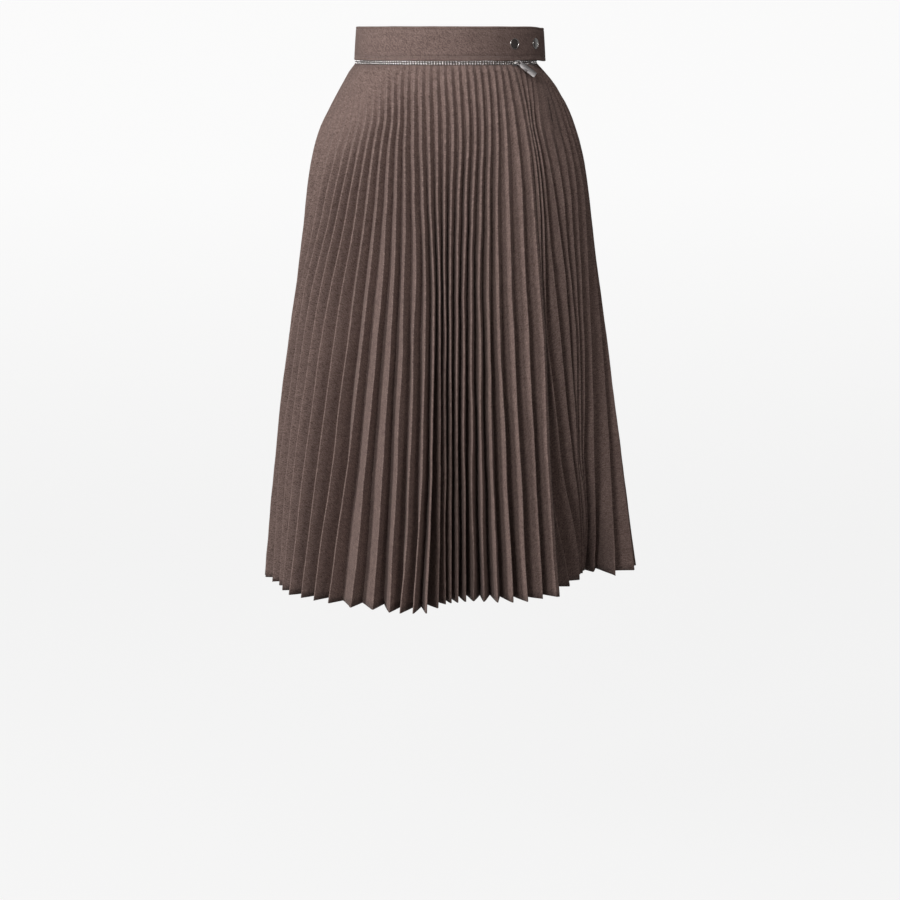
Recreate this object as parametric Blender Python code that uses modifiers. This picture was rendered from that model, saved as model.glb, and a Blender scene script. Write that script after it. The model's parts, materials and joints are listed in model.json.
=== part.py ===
"""Pleated midi skirt, worn and hollow: sunray-pleated cloth under a snap-closed waistband.

The skirt is a full circle of wool cut in two half-circle panels and pressed into sunray pleats,
narrow at the waist seam and wide at the hem. A metal zip runs level round the waist between the
pleats and the waistband, whose ends overlap on the wearer's left.

Axes: +Z up, the wearer faces -Y and the wearer's left is +X. The origin is the centre of the waist
opening at half the waistband's height. Sizes are in metres and angles in degrees. An angle round
the body starts at the centre front and grows towards the wearer's left.
"""

import math
from collections import namedtuple

import bmesh
import bpy
import numpy as np
from mathutils import Matrix

# ---------------------------------------------------------------- driving dimensions
SEAT_GAP = 0.0003

BAND_HEIGHT = 0.042
BAND_THICKNESS = 0.003
BAND_TOP_HALF = (0.1185, 0.0925)
BAND_BOTTOM_HALF = (0.1215, 0.0945)
BAND_EDGE_ROUND = 0.0007
BAND_UNDERLAP_START = 30.0
BAND_OVERLAP_END = 99.0
BAND_UNDERLAP_RISE = 60.0
BAND_END_LIFT = 0.0042
BAND_END_LIFT_SPAN = (60.0, 96.0)
BAND_END_SAG = 0.0016
BAND_END_SAG_SPAN = (64.0, 84.0)
BAND_COLUMNS = 92
HOLLOW_DEPTH = 0.0061
HOLLOW_IN_SPAN = (52.0, 80.0)
HOLLOW_OUT_SPAN = (100.0, 150.0)
HOLLOW_DROP = 0.030

ZIP_HEIGHT = 0.0047
ZIP_THICKNESS = 0.0022
ZIP_ROW_HEIGHT = 0.0017
ZIP_FAR_END = 97.0
ZIP_END_GAP = 1.5
ZIP_COLUMNS = 90
ZIP_OPEN_COLUMNS = 18
SLIDER_ANGLE = 44.2

SKIRT_DROP = 0.6765
HEM_TILT = 0.033
PLEATS_PER_PANEL = 38
FIRST_PLEAT_ARC = 0.0029
FRONT_PLEAT_AT_CENTRE = 29.0
BACK_PLEAT_AT_CENTRE = -9.0
PANEL_WIDTH_SEAM = 0.00462
PANEL_WIDTH_HEM = 0.0325
WALL = 0.001
FOLD_CREST = 0.0004
EDGE_DEPTH_SHARE = 0.25
FOLD_START_DROP = 0.15
FOLD_GROWTH = 1.3
NORMAL_BLEND = 0.5
LEAN_DROP = (0.05, 0.40)

SNAP_ANGLES = {"snap_cap_front": 43.6, "snap_cap_side": 66.0}
SNAP_RADIUS = 0.0068
SNAP_THICKNESS = 0.0013
SNAP_FACE = 0.001
SNAP_RIM = 0.0007
SNAP_RIM_TOP = (0.4, 0.8)
SNAP_STEPS = 28
SNAP_MERGE = 0.00005
SNAP_SEAT_SPAN = (-1.0, 0.0, 1.0)

SLIDER_LENGTH = 0.0115
SLIDER_PLATE_HEIGHT = 0.0064
SLIDER_PLATE_THICKNESS = 0.0013
SLIDER_PLATE_STANDOFF = 0.00145
SLIDER_CORE_LENGTH = 0.0092
SLIDER_CORE_HEIGHT = 0.0041
SLIDER_EDGE = 0.0005
BAIL_RADIUS = 0.0027
BAIL_WIRE = 0.00055
BAIL_PIN_HEIGHT = 0.0013
RING_SEGMENTS = 28
WIRE_SEGMENTS = 10
EDGE_SEGMENTS = 2

PULL_RING_RADIUS = 0.0026
PULL_WIRE = 0.00055
PULL_LENGTH = 0.027
PULL_WIDTH = 0.008
PULL_NECK_WIDTH = 0.0045
PULL_NECK_LENGTH = 0.003
PULL_CORNER = 0.0015
PULL_CORNER_POINTS = 5
PULL_THICKNESS = 0.0012
PULL_HANG = 38.0
PULL_LIFT = 13.0
CLOTH_FLARE = 23.0

# ---------------------------------------------------------------- section table
# One row for each ring: drop below the waist seam, and its reach from the middle to the wearer's
# right and left, to the front and to the back.
Ring = namedtuple("Ring", "drop right left front back")
RINGS = (
    Ring(0.000, 0.1205, 0.1205, 0.0940, 0.0940),
    Ring(0.008, 0.1269, 0.1269, 0.0963, 0.0974),
    Ring(0.018, 0.1326, 0.1326, 0.0992, 0.1016),
    Ring(0.033, 0.1410, 0.1410, 0.1029, 0.1077),
    Ring(0.055, 0.1532, 0.1539, 0.1070, 0.1150),
    Ring(0.080, 0.1655, 0.1638, 0.1115, 0.1216),
    Ring(0.110, 0.1750, 0.1727, 0.1154, 0.1281),
    Ring(0.141, 0.1808, 0.1787, 0.1185, 0.1330),
    Ring(0.239, 0.1930, 0.1913, 0.1290, 0.1440),
    Ring(0.356, 0.2105, 0.2080, 0.1435, 0.1560),
    Ring(0.512, 0.2327, 0.2288, 0.1640, 0.1740),
    Ring(SKIRT_DROP, 0.2495, 0.2495, 0.1880, 0.1960),
)

# ---------------------------------------------------------------- fold tables
# One row for each main fold: the pleat's number in its panel, the angle round the body of its
# ridge at five heights, its reach at the hem as a share of the ring there, and how far the valley
# after it leans towards it, as a share of half the pleat's width. The first and last rows are the
# panel's own edges.
FOLD_DROPS = {"high_hip": 0.08, "hip": 0.17, "thigh": 0.30, "knee": 0.49, "hem": SKIRT_DROP}
Fold = namedtuple("Fold", "pleat high_hip hip thigh knee hem reach lean")
FRONT_FOLDS = (
    Fold(0.50, -130.0, -133.0, -141.0, -145.0, -147.0, 0.88, 0.0),
    Fold(4.0, -112.0, -116.0, -124.0, -128.0, -131.0, 1.01, 0.0),
    Fold(7.0, -95.5, -101.0, -110.0, -115.0, -119.0, 0.91, 0.0),
    Fold(9.0, -84.0, -90.5, -100.0, -106.0, -110.0, 0.98, 0.0),
    Fold(11.0, -71.0, -77.5, -89.5, -97.5, -102.0, 1.00, 0.0),
    Fold(13.0, -57.0, -61.5, -74.5, -83.5, -89.0, 0.99, 0.0),
    Fold(14.0, -51.8, -55.8, -67.5, -75.0, -81.0, 0.95, 0.0),
    Fold(15.0, -46.8, -50.6, -60.3, -67.0, -73.0, 0.93, 0.0),
    Fold(16.0, -42.2, -45.4, -52.9, -58.0, -62.9, 0.95, 0.0),
    Fold(17.0, -38.5, -40.6, -46.2, -50.0, -54.0, 0.97, 0.0),
    Fold(18.0, -34.8, -36.0, -40.2, -43.5, -48.0, 0.96, 0.0),
    Fold(19.0, -31.0, -31.6, -34.7, -37.7, -42.6, 0.955, 0.1),
    Fold(20.0, -27.4, -27.5, -29.3, -31.8, -36.2, 0.97, 0.3),
    Fold(21.0, -23.9, -23.4, -24.0, -25.7, -28.8, 1.01, 0.5),
    Fold(22.0, -20.6, -19.2, -19.2, -19.7, -21.9, 1.025, 0.6),
    Fold(23.0, -17.2, -15.6, -14.4, -14.0, -15.9, 1.04, 0.6),
    Fold(24.0, -13.7, -12.1, -10.4, -10.0, -11.2, 1.06, 0.5),
    Fold(25.0, -10.3, -8.9, -7.4, -7.3, -8.2, 1.08, 0.1),
    Fold(26.0, -6.8, -6.1, -4.7, -4.8, -5.4, 1.07, -0.4),
    Fold(27.0, -3.4, -3.4, -2.6, -2.5, -2.8, 0.93, -0.9),
    Fold(28.0, 0.1, -0.7, -0.9, -0.8, -0.7, 0.84, 0.0),
    Fold(29.0, 3.5, 2.1, 1.4, 1.0, 1.6, 0.815, 0.0),
    Fold(30.0, 6.7, 5.0, 4.2, 3.9, 4.9, 0.80, 0.0),
    Fold(31.0, 9.9, 7.8, 6.9, 6.9, 8.6, 0.795, 0.0),
    Fold(32.0, 13.1, 10.8, 9.7, 10.1, 11.7, 0.79, 0.0),
    Fold(33.0, 16.3, 13.9, 12.9, 13.6, 15.0, 0.82, 0.1),
    Fold(34.0, 19.6, 17.2, 16.6, 17.2, 18.5, 0.86, 0.25),
    Fold(35.0, 23.1, 21.0, 20.9, 21.6, 22.9, 0.885, 0.3),
    Fold(36.0, 27.9, 26.0, 26.1, 26.8, 27.7, 0.905, 0.3),
    Fold(37.0, 33.0, 32.0, 31.6, 32.0, 33.8, 0.89, 0.3),
    Fold(38.0, 36.3, 36.0, 36.8, 36.4, 38.0, 0.90, 0.3),
    Fold(38.47, 37.8, 37.4, 38.5, 37.8, 39.6, 0.90, 0.3),
)
BACK_FOLDS = (
    Fold(0.53, 38.1, 38.0, 38.3, 38.4, 51.9, 0.65, 0.0),
    Fold(1.0, 39.1, 39.0, 39.2, 39.6, 56.2, 0.765, 0.0),
    Fold(2.0, 40.4, 40.7, 40.8, 48.1, 70.6, 0.738, 0.0),
    Fold(3.0, 42.2, 43.2, 46.9, 57.4, 83.1, 0.713, 0.0),
    Fold(4.0, 45.4, 48.2, 54.0, 61.3, 85.1, 0.716, 0.0),
    Fold(5.0, 51.7, 53.4, 57.8, 63.2, 87.2, 0.720, 0.0),
    Fold(6.0, 58.6, 58.9, 61.6, 65.2, 89.4, 0.725, 0.0),
    Fold(7.0, 65.0, 65.2, 65.8, 67.7, 91.2, 0.732, 0.0),
    Fold(8.0, 71.0, 73.3, 73.2, 73.6, 88.1, 0.784, 0.0),
    Fold(9.0, 77.0, 81.2, 84.0, 83.8, 80.8, 0.902, 0.0),
    Fold(10.0, 82.5, 87.0, 90.2, 89.0, 86.6, 1.00, 0.0),
    Fold(11.0, 87.5, 92.0, 95.0, 95.0, 96.3, 1.02, 0.0),
    Fold(12.0, 92.0, 96.5, 99.5, 100.0, 101.5, 1.00, 0.0),
    Fold(15.0, 107.0, 110.5, 111.0, 111.0, 112.0, 0.89, 0.0),
    Fold(19.0, 127.0, 130.0, 128.0, 128.0, 128.0, 1.02, 0.0),
    Fold(23.0, 148.0, 150.0, 147.0, 146.0, 146.0, 0.87, 0.0),
    Fold(27.0, 169.0, 169.0, 165.0, 163.0, 162.0, 1.00, 0.0),
    Fold(30.0, 185.0, 184.0, 179.0, 177.0, 176.0, 0.90, 0.0),
    Fold(34.0, 206.0, 204.0, 198.0, 195.0, 193.0, 1.03, 0.0),
    Fold(38.5, 230.0, 227.0, 219.0, 215.0, 213.0, 0.88, 0.0),
)
WALL_DROPS = (
    0.0, 0.008, 0.020, 0.033, 0.055, 0.082, 0.112, 0.145,
    0.180, 0.225, 0.280, 0.345, 0.420, 0.500, 0.590, SKIRT_DROP,
)

BAND_BOTTOM_Z = -BAND_HEIGHT / 2
ZIP_TOP_Z = BAND_BOTTOM_Z - SEAT_GAP
ZIP_BOTTOM_Z = ZIP_TOP_Z - ZIP_HEIGHT
SEAM_Z = ZIP_BOTTOM_Z - SEAT_GAP
ZIP_HALF = (RINGS[0].left, RINGS[0].front)


# ---------------------------------------------------------------- scene and small tools
def clear_scene():
    """Remove every object that the startup file holds."""
    for obj in list(bpy.data.objects):
        bpy.data.objects.remove(obj)


def new_collection(name):
    """A collection linked to the scene."""
    collection = bpy.data.collections.new(name)
    bpy.context.scene.collection.children.link(collection)
    return collection


def make_material(name, colour, roughness, metallic):
    """A Principled material with one colour."""
    material = bpy.data.materials.new(name)
    material.use_nodes = True
    shader = material.node_tree.nodes["Principled BSDF"]
    shader.inputs["Base Color"].default_value = (*colour, 1.0)
    shader.inputs["Roughness"].default_value = roughness
    shader.inputs["Metallic"].default_value = metallic
    return material


def object_from_bmesh(mesh_maker, name, collection, material, placement=None):
    """Turn a bmesh into an object with its material and its place."""
    bmesh.ops.recalc_face_normals(mesh_maker, faces=mesh_maker.faces)
    mesh = bpy.data.meshes.new(name)
    mesh_maker.to_mesh(mesh)
    mesh_maker.free()
    mesh.materials.append(material)
    obj = bpy.data.objects.new(name, mesh)
    collection.objects.link(obj)
    if placement is not None:
        obj.matrix_world = placement
    return obj


def smooth_table(at, places, values):
    """Read a table at the given places with a curve that never overshoots its rows."""
    places = np.asarray(places, float)
    values = np.asarray(values, float)
    steps = np.diff(places)
    slopes = np.diff(values) / steps
    ends = np.empty(len(places))
    ends[0] = slopes[0]
    ends[-1] = slopes[-1]
    before, after = slopes[:-1], slopes[1:]
    same_way = before * after > 0
    total = np.where(same_way, before + after, 1.0)
    ends[1:-1] = np.where(same_way, 2 * before * after / total, 0.0)
    at = np.clip(at, places[0], places[-1])
    row = np.clip(np.searchsorted(places, at, side="right") - 1, 0, len(steps) - 1)
    share = (at - places[row]) / steps[row]
    rise = share * share * (3 - 2 * share)
    curve_in = share * (1 - share) ** 2 * steps[row] * ends[row]
    curve_out = share * share * (share - 1) * steps[row] * ends[row + 1]
    return values[row] * (1 - rise) + values[row + 1] * rise + curve_in + curve_out


def smooth_step(low, high, value):
    """Rise from 0 at low to 1 at high without a corner."""
    share = np.clip((value - low) / (high - low), 0.0, 1.0)
    return share * share * (3 - 2 * share)


def unit(vectors):
    """Vectors of length one, along the last axis."""
    return vectors / np.linalg.norm(vectors, axis=-1, keepdims=True)


def ellipse_point(angle, half_width, half_depth):
    """Point on an ellipse round the body, at an angle from the centre front."""
    turn = np.radians(angle)
    return np.stack([half_width * np.sin(turn), -half_depth * np.cos(turn)], axis=-1)


def ellipse_outward(angle, half_width, half_depth):
    """Outward direction of that ellipse, seen from above."""
    turn = np.radians(angle)
    return unit(np.stack([np.sin(turn) / half_width, -np.cos(turn) / half_depth], axis=-1))


def overlap_hollow(angle):
    """How far everything under the band's overlap is pressed in towards the body, at an angle."""
    return HOLLOW_DEPTH * smooth_step(*HOLLOW_IN_SPAN, angle) * (1 - smooth_step(*HOLLOW_OUT_SPAN, angle))


def loft_wall(name, outer_rows, inner_rows, collection, material):
    """Close an outer and an inner grid of points into one wall with two ends, a top and a foot."""
    wall = bmesh.new()
    outer = [[wall.verts.new(point) for point in row] for row in outer_rows]
    inner = [[wall.verts.new(point) for point in row] for row in inner_rows]
    loops = [row_out + row_in[::-1] for row_out, row_in in zip(outer, inner)]
    count = len(loops[0])
    for upper, lower in zip(loops[:-1], loops[1:]):
        for i in range(count):
            j = (i + 1) % count
            wall.faces.new((upper[i], upper[j], lower[j], lower[i]))
    for row_out, row_in in ((outer[0], inner[0]), (outer[-1], inner[-1])):
        for i in range(len(row_out) - 1):
            wall.faces.new((row_out[i], row_out[i + 1], row_in[i + 1], row_in[i]))
    return object_from_bmesh(wall, name, collection, material)


# ---------------------------------------------------------------- pleated cloth
def ring_sizes(drop, angle):
    """Half width and half depth of the drape's ring at a drop below the seam."""
    drops = [ring.drop for ring in RINGS]
    right = smooth_table(drop, drops, [ring.right for ring in RINGS])
    left = smooth_table(drop, drops, [ring.left for ring in RINGS])
    front = smooth_table(drop, drops, [ring.front for ring in RINGS])
    back = smooth_table(drop, drops, [ring.back for ring in RINGS])
    turn = np.radians(angle)
    return np.where(np.sin(turn) > 0, left, right), np.where(np.cos(turn) > 0, front, back)


def seam_angles(pleats, first_number):
    """Angles of the pleats at the seam, where they are spaced evenly along the edge."""
    turn = np.radians(np.arange(-400.0, 400.0, 0.25))
    half_width, half_depth = ZIP_HALF
    speed = np.hypot(half_width * np.cos(turn), half_depth * np.sin(turn))
    arc = np.concatenate([[0.0], np.cumsum((speed[1:] + speed[:-1]) / 2 * np.diff(turn))])
    arc -= np.interp(0.0, turn, arc)
    around = np.interp(math.tau, turn, arc)
    pitch = around / (2 * PLEATS_PER_PANEL)
    places = FIRST_PLEAT_ARC + (pleats - first_number) * pitch
    return np.degrees(np.interp(places, arc, turn))


def ridge_places(folds, pleats, first_number, drop):
    """Angle and reach of each ridge or edge of a panel at a drop below the seam."""
    numbers = [fold.pleat for fold in folds]
    levels = [0.0, *FOLD_DROPS.values()]
    angles = [seam_angles(pleats, first_number)]
    for height in FOLD_DROPS:
        angles.append(smooth_table(pleats, numbers, [getattr(fold, height) for fold in folds]))
    table = np.array(angles)
    angle = np.array([smooth_table(drop, levels, table[:, i]) for i in range(len(pleats))])
    depth_share = max(0.0, (drop - FOLD_START_DROP) / (SKIRT_DROP - FOLD_START_DROP))
    hem_reach = smooth_table(pleats, numbers, [fold.reach for fold in folds])
    reach = 1 + (hem_reach - 1) * depth_share**FOLD_GROWTH
    return angle, reach


def panel_plan(folds, first_number, edge_first, drop):
    """Fold lines of a panel seen from above at a drop: ridges, and the valleys between them."""
    ridges = np.arange(1, PLEATS_PER_PANEL + 1, dtype=float)
    start, end = folds[0].pleat, folds[-1].pleat
    places = np.concatenate([[start], ridges, [end]])
    angle, reach = ridge_places(folds, places, first_number, drop)
    half_width, half_depth = ring_sizes(drop, angle)
    points = ellipse_point(angle, half_width, half_depth) * reach[:, None]
    ring_out = ellipse_outward(angle, half_width, half_depth)
    pressed_in = overlap_hollow(angle) * (1 - smooth_step(0.0, HOLLOW_DROP, drop))
    points -= ring_out * pressed_in[:, None]

    panel_width = PANEL_WIDTH_SEAM + (PANEL_WIDTH_HEM - PANEL_WIDTH_SEAM) * drop / SKIRT_DROP
    ridge_points = points[1:-1]
    along = np.diff(ridge_points, axis=0)
    half_pitch = np.linalg.norm(along, axis=1) / 2
    numbers = [fold.pleat for fold in folds]
    lean = smooth_table(ridges[:-1] + 0.5, numbers, [fold.lean for fold in folds])
    lean = lean * smooth_step(*LEAN_DROP, drop) * half_pitch
    depth = np.sqrt(np.maximum(panel_width**2 - half_pitch**2, 0.0) * (1 - (lean / panel_width) ** 2))
    local_out = unit(np.stack([along[:, 1], -along[:, 0]], axis=-1))
    middle_out = unit(ring_out[1:-2] + ring_out[2:-1])
    out = unit(local_out * NORMAL_BLEND + middle_out * (1 - NORMAL_BLEND))
    middles = (ridge_points[1:] + ridge_points[:-1]) / 2 - unit(along) * lean[:, None]
    valleys = middles - out * depth[:, None]

    slit_end = points[0] if edge_first else points[-1]
    seam_end = points[-1] if edge_first else points[0]
    slit_out = ring_out[0] if edge_first else ring_out[-1]
    seam_out = ring_out[-1] if edge_first else ring_out[0]
    near_depth = depth[0] if edge_first else depth[-1]
    far_depth = depth[-1] if edge_first else depth[0]
    open_share = 1 - drop / SKIRT_DROP
    slit_end = slit_end - slit_out * near_depth * EDGE_DEPTH_SHARE * open_share
    seam_side = np.array([-seam_out[1], seam_out[0]]) * (SEAT_GAP / 2)
    seam_end = seam_end - seam_out * far_depth + (-seam_side if edge_first else seam_side)

    plan = np.empty((2 * PLEATS_PER_PANEL + 1, 2))
    plan[0] = slit_end if edge_first else seam_end
    plan[-1] = seam_end if edge_first else slit_end
    plan[1::2] = ridge_points
    plan[2:-1:2] = valleys
    end_outs = (slit_out, seam_out) if edge_first else (seam_out, slit_out)
    return plan, end_outs


def wall_offsets(plan, end_outs):
    """Outer and inner lines of the wall round the fold lines, even in thickness."""
    to_next = unit(np.diff(plan, axis=0))
    inwards = np.stack([-to_next[:, 1], to_next[:, 0]], axis=-1)
    bisector = unit(inwards[1:] + inwards[:-1])
    half_open = np.abs(np.sum(bisector * inwards[1:], axis=1))
    out = np.empty_like(plan)
    out[1:-1] = -bisector
    out[0], out[-1] = end_outs
    span = np.empty(len(plan))
    span[1:-1] = WALL / half_open
    span[0] = WALL / abs(np.dot(out[0], inwards[0]))
    span[-1] = WALL / abs(np.dot(out[-1], inwards[-1]))
    is_ridge = np.arange(len(plan)) % 2 == 1
    lift = np.where(is_ridge, FOLD_CREST, span - FOLD_CREST)
    outer = plan + out * lift[:, None]
    inner = plan - out * (span - lift)[:, None]
    return outer, inner


def panel_points(line, drop):
    """Points in space of one line of the wall, lower at the wearer's right than at the left."""
    height = SEAM_Z - drop * (1 - HEM_TILT * line[:, 0])
    return np.column_stack([line, height])


def make_panel(name, folds, first_number, edge_first, collection, material):
    """One half-circle panel of pleated cloth."""
    outer_rows, inner_rows = [], []
    for drop in WALL_DROPS:
        plan, end_outs = panel_plan(folds, first_number, edge_first, drop)
        outer, inner = wall_offsets(plan, end_outs)
        outer_rows.append(panel_points(outer, drop))
        inner_rows.append(panel_points(inner, drop))
    return loft_wall(name, outer_rows, inner_rows, collection, material)


# ---------------------------------------------------------------- waistband
def band_ring(height):
    """Half width and half depth of the ring that the band's face lies on, at a height."""
    share_up = 0.5 + height / BAND_HEIGHT
    return np.array(BAND_BOTTOM_HALF) * (1 - share_up) + np.array(BAND_TOP_HALF) * share_up


def band_points(angle, height, inset=0.0):
    """Points on the band: its inner end is tucked under, its outer end stands off and sags a little."""
    ring = band_ring(height)
    past_overlap = BAND_OVERLAP_END + BAND_UNDERLAP_RISE
    tucked = 1 - smooth_step(BAND_OVERLAP_END, past_overlap, angle)
    tuck = (BAND_THICKNESS + SEAT_GAP) * tucked + overlap_hollow(angle)
    tuck -= BAND_END_LIFT * smooth_step(*BAND_END_LIFT_SPAN, angle - 360.0)
    sag = BAND_END_SAG * smooth_step(*BAND_END_SAG_SPAN, angle - 360.0)
    face = ellipse_point(angle, *ring) - ellipse_outward(angle, *ring) * (tuck + inset)[..., None]
    return np.concatenate([face, (height - sag)[..., None]], axis=-1)


def make_waistband(collection, material):
    """A stiff strip round the waist whose outer end laps over its inner end."""
    angle = np.linspace(BAND_UNDERLAP_START, BAND_OVERLAP_END + 360.0, BAND_COLUMNS)
    half = BAND_HEIGHT / 2
    levels = (
        (half, BAND_EDGE_ROUND),
        (half - BAND_EDGE_ROUND, 0.0),
        (BAND_EDGE_ROUND - half, 0.0),
        (-half, BAND_EDGE_ROUND),
    )
    outer_rows = [band_points(angle, height, inset) for height, inset in levels]
    inner_rows = [band_points(angle, height, BAND_THICKNESS - inset) for height, inset in levels]
    return loft_wall("waistband", outer_rows, inner_rows, collection, material)


# ---------------------------------------------------------------- zip
def make_zip_strip(name, start, end, top, height, columns, collection, material):
    """A level strip of zip teeth round the waist, between two angles."""
    angle = np.linspace(start, end, columns)
    out = ellipse_outward(angle, *ZIP_HALF)
    face = ellipse_point(angle, *ZIP_HALF) - out * overlap_hollow(angle)[:, None]
    back = face - out * ZIP_THICKNESS
    outer_rows = [np.column_stack([face, np.full(columns, z)]) for z in (top, top - height)]
    inner_rows = [np.column_stack([back, np.full(columns, z)]) for z in (top, top - height)]
    return loft_wall(name, outer_rows, inner_rows, collection, material)


def waist_frame(angle, size, height):
    """Frame on the waist ring: X along it to the wearer's left, -Y outwards and Z up."""
    point = ellipse_point(angle, *size)
    outward = ellipse_outward(angle, *size)
    axes = Matrix(
        (
            (-outward[1], -outward[0], 0.0),
            (outward[0], -outward[1], 0.0),
            (0.0, 0.0, 1.0),
        )
    )
    return Matrix.Translation((point[0], point[1], height)) @ axes.to_4x4()


def add_box(maker, size, centre):
    """Add a box of a given size to a bmesh."""
    place = Matrix.Translation(centre) @ Matrix.Diagonal((*size, 1.0))
    return bmesh.ops.create_cube(maker, size=1.0, matrix=place)


def make_torus(name, radius, wire, collection, material, placement):
    """A ring of round wire, its axis along the placement's Z."""
    bpy.ops.mesh.primitive_torus_add(
        major_radius=radius,
        minor_radius=wire,
        major_segments=RING_SEGMENTS,
        minor_segments=WIRE_SEGMENTS,
    )
    ring = bpy.context.object
    ring.name = name
    for used in list(ring.users_collection):
        used.objects.unlink(ring)
    collection.objects.link(ring)
    ring.data.materials.append(material)
    ring.matrix_world = placement
    return ring


def unite(obj, helper):
    """Join a helper's volume to an object; the helper itself isn't part of the model."""
    helper.hide_render = True
    helper.display_type = "WIRE"
    union = obj.modifiers.new("join_" + helper.name, "BOOLEAN")
    union.operation = "UNION"
    union.solver = "EXACT"
    union.object = helper


def round_edges(obj, width):
    """Bevel the edges of a piece before anything is joined to it."""
    bevel = obj.modifiers.new("rounded", "BEVEL")
    bevel.width = width
    bevel.segments = EDGE_SEGMENTS
    bevel.limit_method = "ANGLE"


def make_slider(collection, helpers, material):
    """The zip's slider: a core between the two rows, a front plate and the bail's arch."""
    frame = waist_frame(SLIDER_ANGLE, ZIP_HALF, (ZIP_TOP_Z + ZIP_BOTTOM_Z) / 2)
    plate = bmesh.new()
    plate_size = (SLIDER_LENGTH, SLIDER_PLATE_THICKNESS, SLIDER_PLATE_HEIGHT)
    add_box(plate, plate_size, (0.0, -SLIDER_PLATE_STANDOFF - SLIDER_PLATE_THICKNESS / 2, 0.0))
    slider = object_from_bmesh(plate, "zip_slider", collection, material, frame)
    round_edges(slider, SLIDER_EDGE)
    core = bmesh.new()
    core_depth = ZIP_THICKNESS + SLIDER_PLATE_STANDOFF + SLIDER_PLATE_THICKNESS / 2
    core_size = (SLIDER_CORE_LENGTH, core_depth, SLIDER_CORE_HEIGHT)
    add_box(core, core_size, (0.0, ZIP_THICKNESS - core_depth / 2, 0.0))
    unite(slider, object_from_bmesh(core, "slider_core", helpers, material, frame))
    face = Matrix.Translation((0.0, -SLIDER_PLATE_STANDOFF - SLIDER_PLATE_THICKNESS, 0.0))
    bail = make_torus("slider_bail", BAIL_RADIUS, BAIL_WIRE, helpers, material, frame @ face)
    unite(slider, bail)
    return slider


def pull_outline():
    """Outline of the pull's tab from its neck to its square end with rounded corners."""
    half = PULL_WIDTH / 2
    neck = PULL_NECK_WIDTH / 2
    side = half - PULL_CORNER
    along = PULL_LENGTH - PULL_CORNER
    arc = np.radians(np.linspace(0.0, 90.0, PULL_CORNER_POINTS))
    corner = [(along + PULL_CORNER * math.sin(a), side + PULL_CORNER * math.cos(a)) for a in arc]
    points = [(0.0, -neck), (PULL_NECK_LENGTH, -half)]
    points += [(x, -z) for x, z in corner]
    points += corner[::-1]
    points += [(PULL_NECK_LENGTH, half), (0.0, neck)]
    return points


def make_pull(collection, helpers, material):
    """The pull tab on its ring. Its origin lies on the pin line under the bail, its axis on Z."""
    frame = waist_frame(SLIDER_ANGLE, ZIP_HALF, (ZIP_TOP_Z + ZIP_BOTTOM_Z) / 2)
    pin_depth = SLIDER_PLATE_STANDOFF + SLIDER_PLATE_THICKNESS + BAIL_PIN_HEIGHT
    along_cloth = Matrix.Rotation(math.radians(-CLOTH_FLARE), 4, "X")
    lifted = Matrix.Rotation(math.radians(-PULL_LIFT), 4, "Z")
    hinge = frame @ Matrix.Translation((0.0, -pin_depth, 0.0)) @ along_cloth @ lifted
    tab = bmesh.new()
    front = [tab.verts.new((x, -PULL_THICKNESS / 2, z)) for x, z in pull_outline()]
    face = tab.faces.new(front)
    raised = bmesh.ops.extrude_face_region(tab, geom=[face])["geom"]
    corners = [item for item in raised if isinstance(item, bmesh.types.BMVert)]
    bmesh.ops.translate(tab, verts=corners, vec=(0.0, PULL_THICKNESS, 0.0))
    hang = Matrix.Translation((PULL_RING_RADIUS, 0.0, 0.0))
    hang = hang @ Matrix.Rotation(math.radians(PULL_HANG), 4, "Y")
    hang = hang @ Matrix.Translation((PULL_RING_RADIUS, 0.0, 0.0))
    bmesh.ops.transform(tab, matrix=hang, verts=tab.verts)
    pull = object_from_bmesh(tab, "zip_pull", collection, material, hinge)
    ring_place = hinge @ Matrix.Translation((PULL_RING_RADIUS, 0.0, 0.0))
    ring_place = ring_place @ Matrix.Rotation(math.pi / 2, 4, "X")
    ring = make_torus("pull_ring", PULL_RING_RADIUS, PULL_WIRE, helpers, material, ring_place)
    unite(pull, ring)
    return pull


# ---------------------------------------------------------------- snaps
def band_frame(angle):
    """Frame on the band's outer layer at half its height: X along the band and Z out of it."""
    turns = angle + 360.0 + np.array(SNAP_SEAT_SPAN)
    before, point, after = band_points(turns, 0.0)
    top = band_points(turns, BAND_HEIGHT / 4)[1]
    bottom = band_points(turns, -BAND_HEIGHT / 4)[1]
    along = unit(after - before)
    out = unit(np.cross(along, top - bottom))
    axes = Matrix((along, np.cross(out, along), out)).transposed()
    return Matrix.Translation(point) @ axes.to_4x4()


def make_snap_cap(name, angle, collection, material):
    """A flat round snap cap with a thin raised rim, turned about the line out of the band."""
    seat = band_frame(angle) @ Matrix.Translation((0.0, 0.0, SEAT_GAP))
    rim_in = SNAP_RADIUS - SNAP_RIM
    profile = (
        (0.0, SNAP_FACE),
        (rim_in, SNAP_FACE),
        (rim_in + SNAP_RIM * SNAP_RIM_TOP[0], SNAP_THICKNESS),
        (rim_in + SNAP_RIM * SNAP_RIM_TOP[1], SNAP_THICKNESS),
        (SNAP_RADIUS, SNAP_FACE),
        (SNAP_RADIUS, 0.0),
        (0.0, 0.0),
    )
    mesh = bpy.data.meshes.new(name)
    points = [(x, 0.0, z) for x, z in profile]
    mesh.from_pydata(points, [(i, i + 1) for i in range(len(points) - 1)], [])
    mesh.materials.append(material)
    cap = bpy.data.objects.new(name, mesh)
    collection.objects.link(cap)
    cap.matrix_world = seat
    screw = cap.modifiers.new("turned", "SCREW")
    screw.steps = SNAP_STEPS
    screw.render_steps = SNAP_STEPS
    screw.use_merge_vertices = True
    screw.merge_threshold = SNAP_MERGE
    return cap


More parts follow.
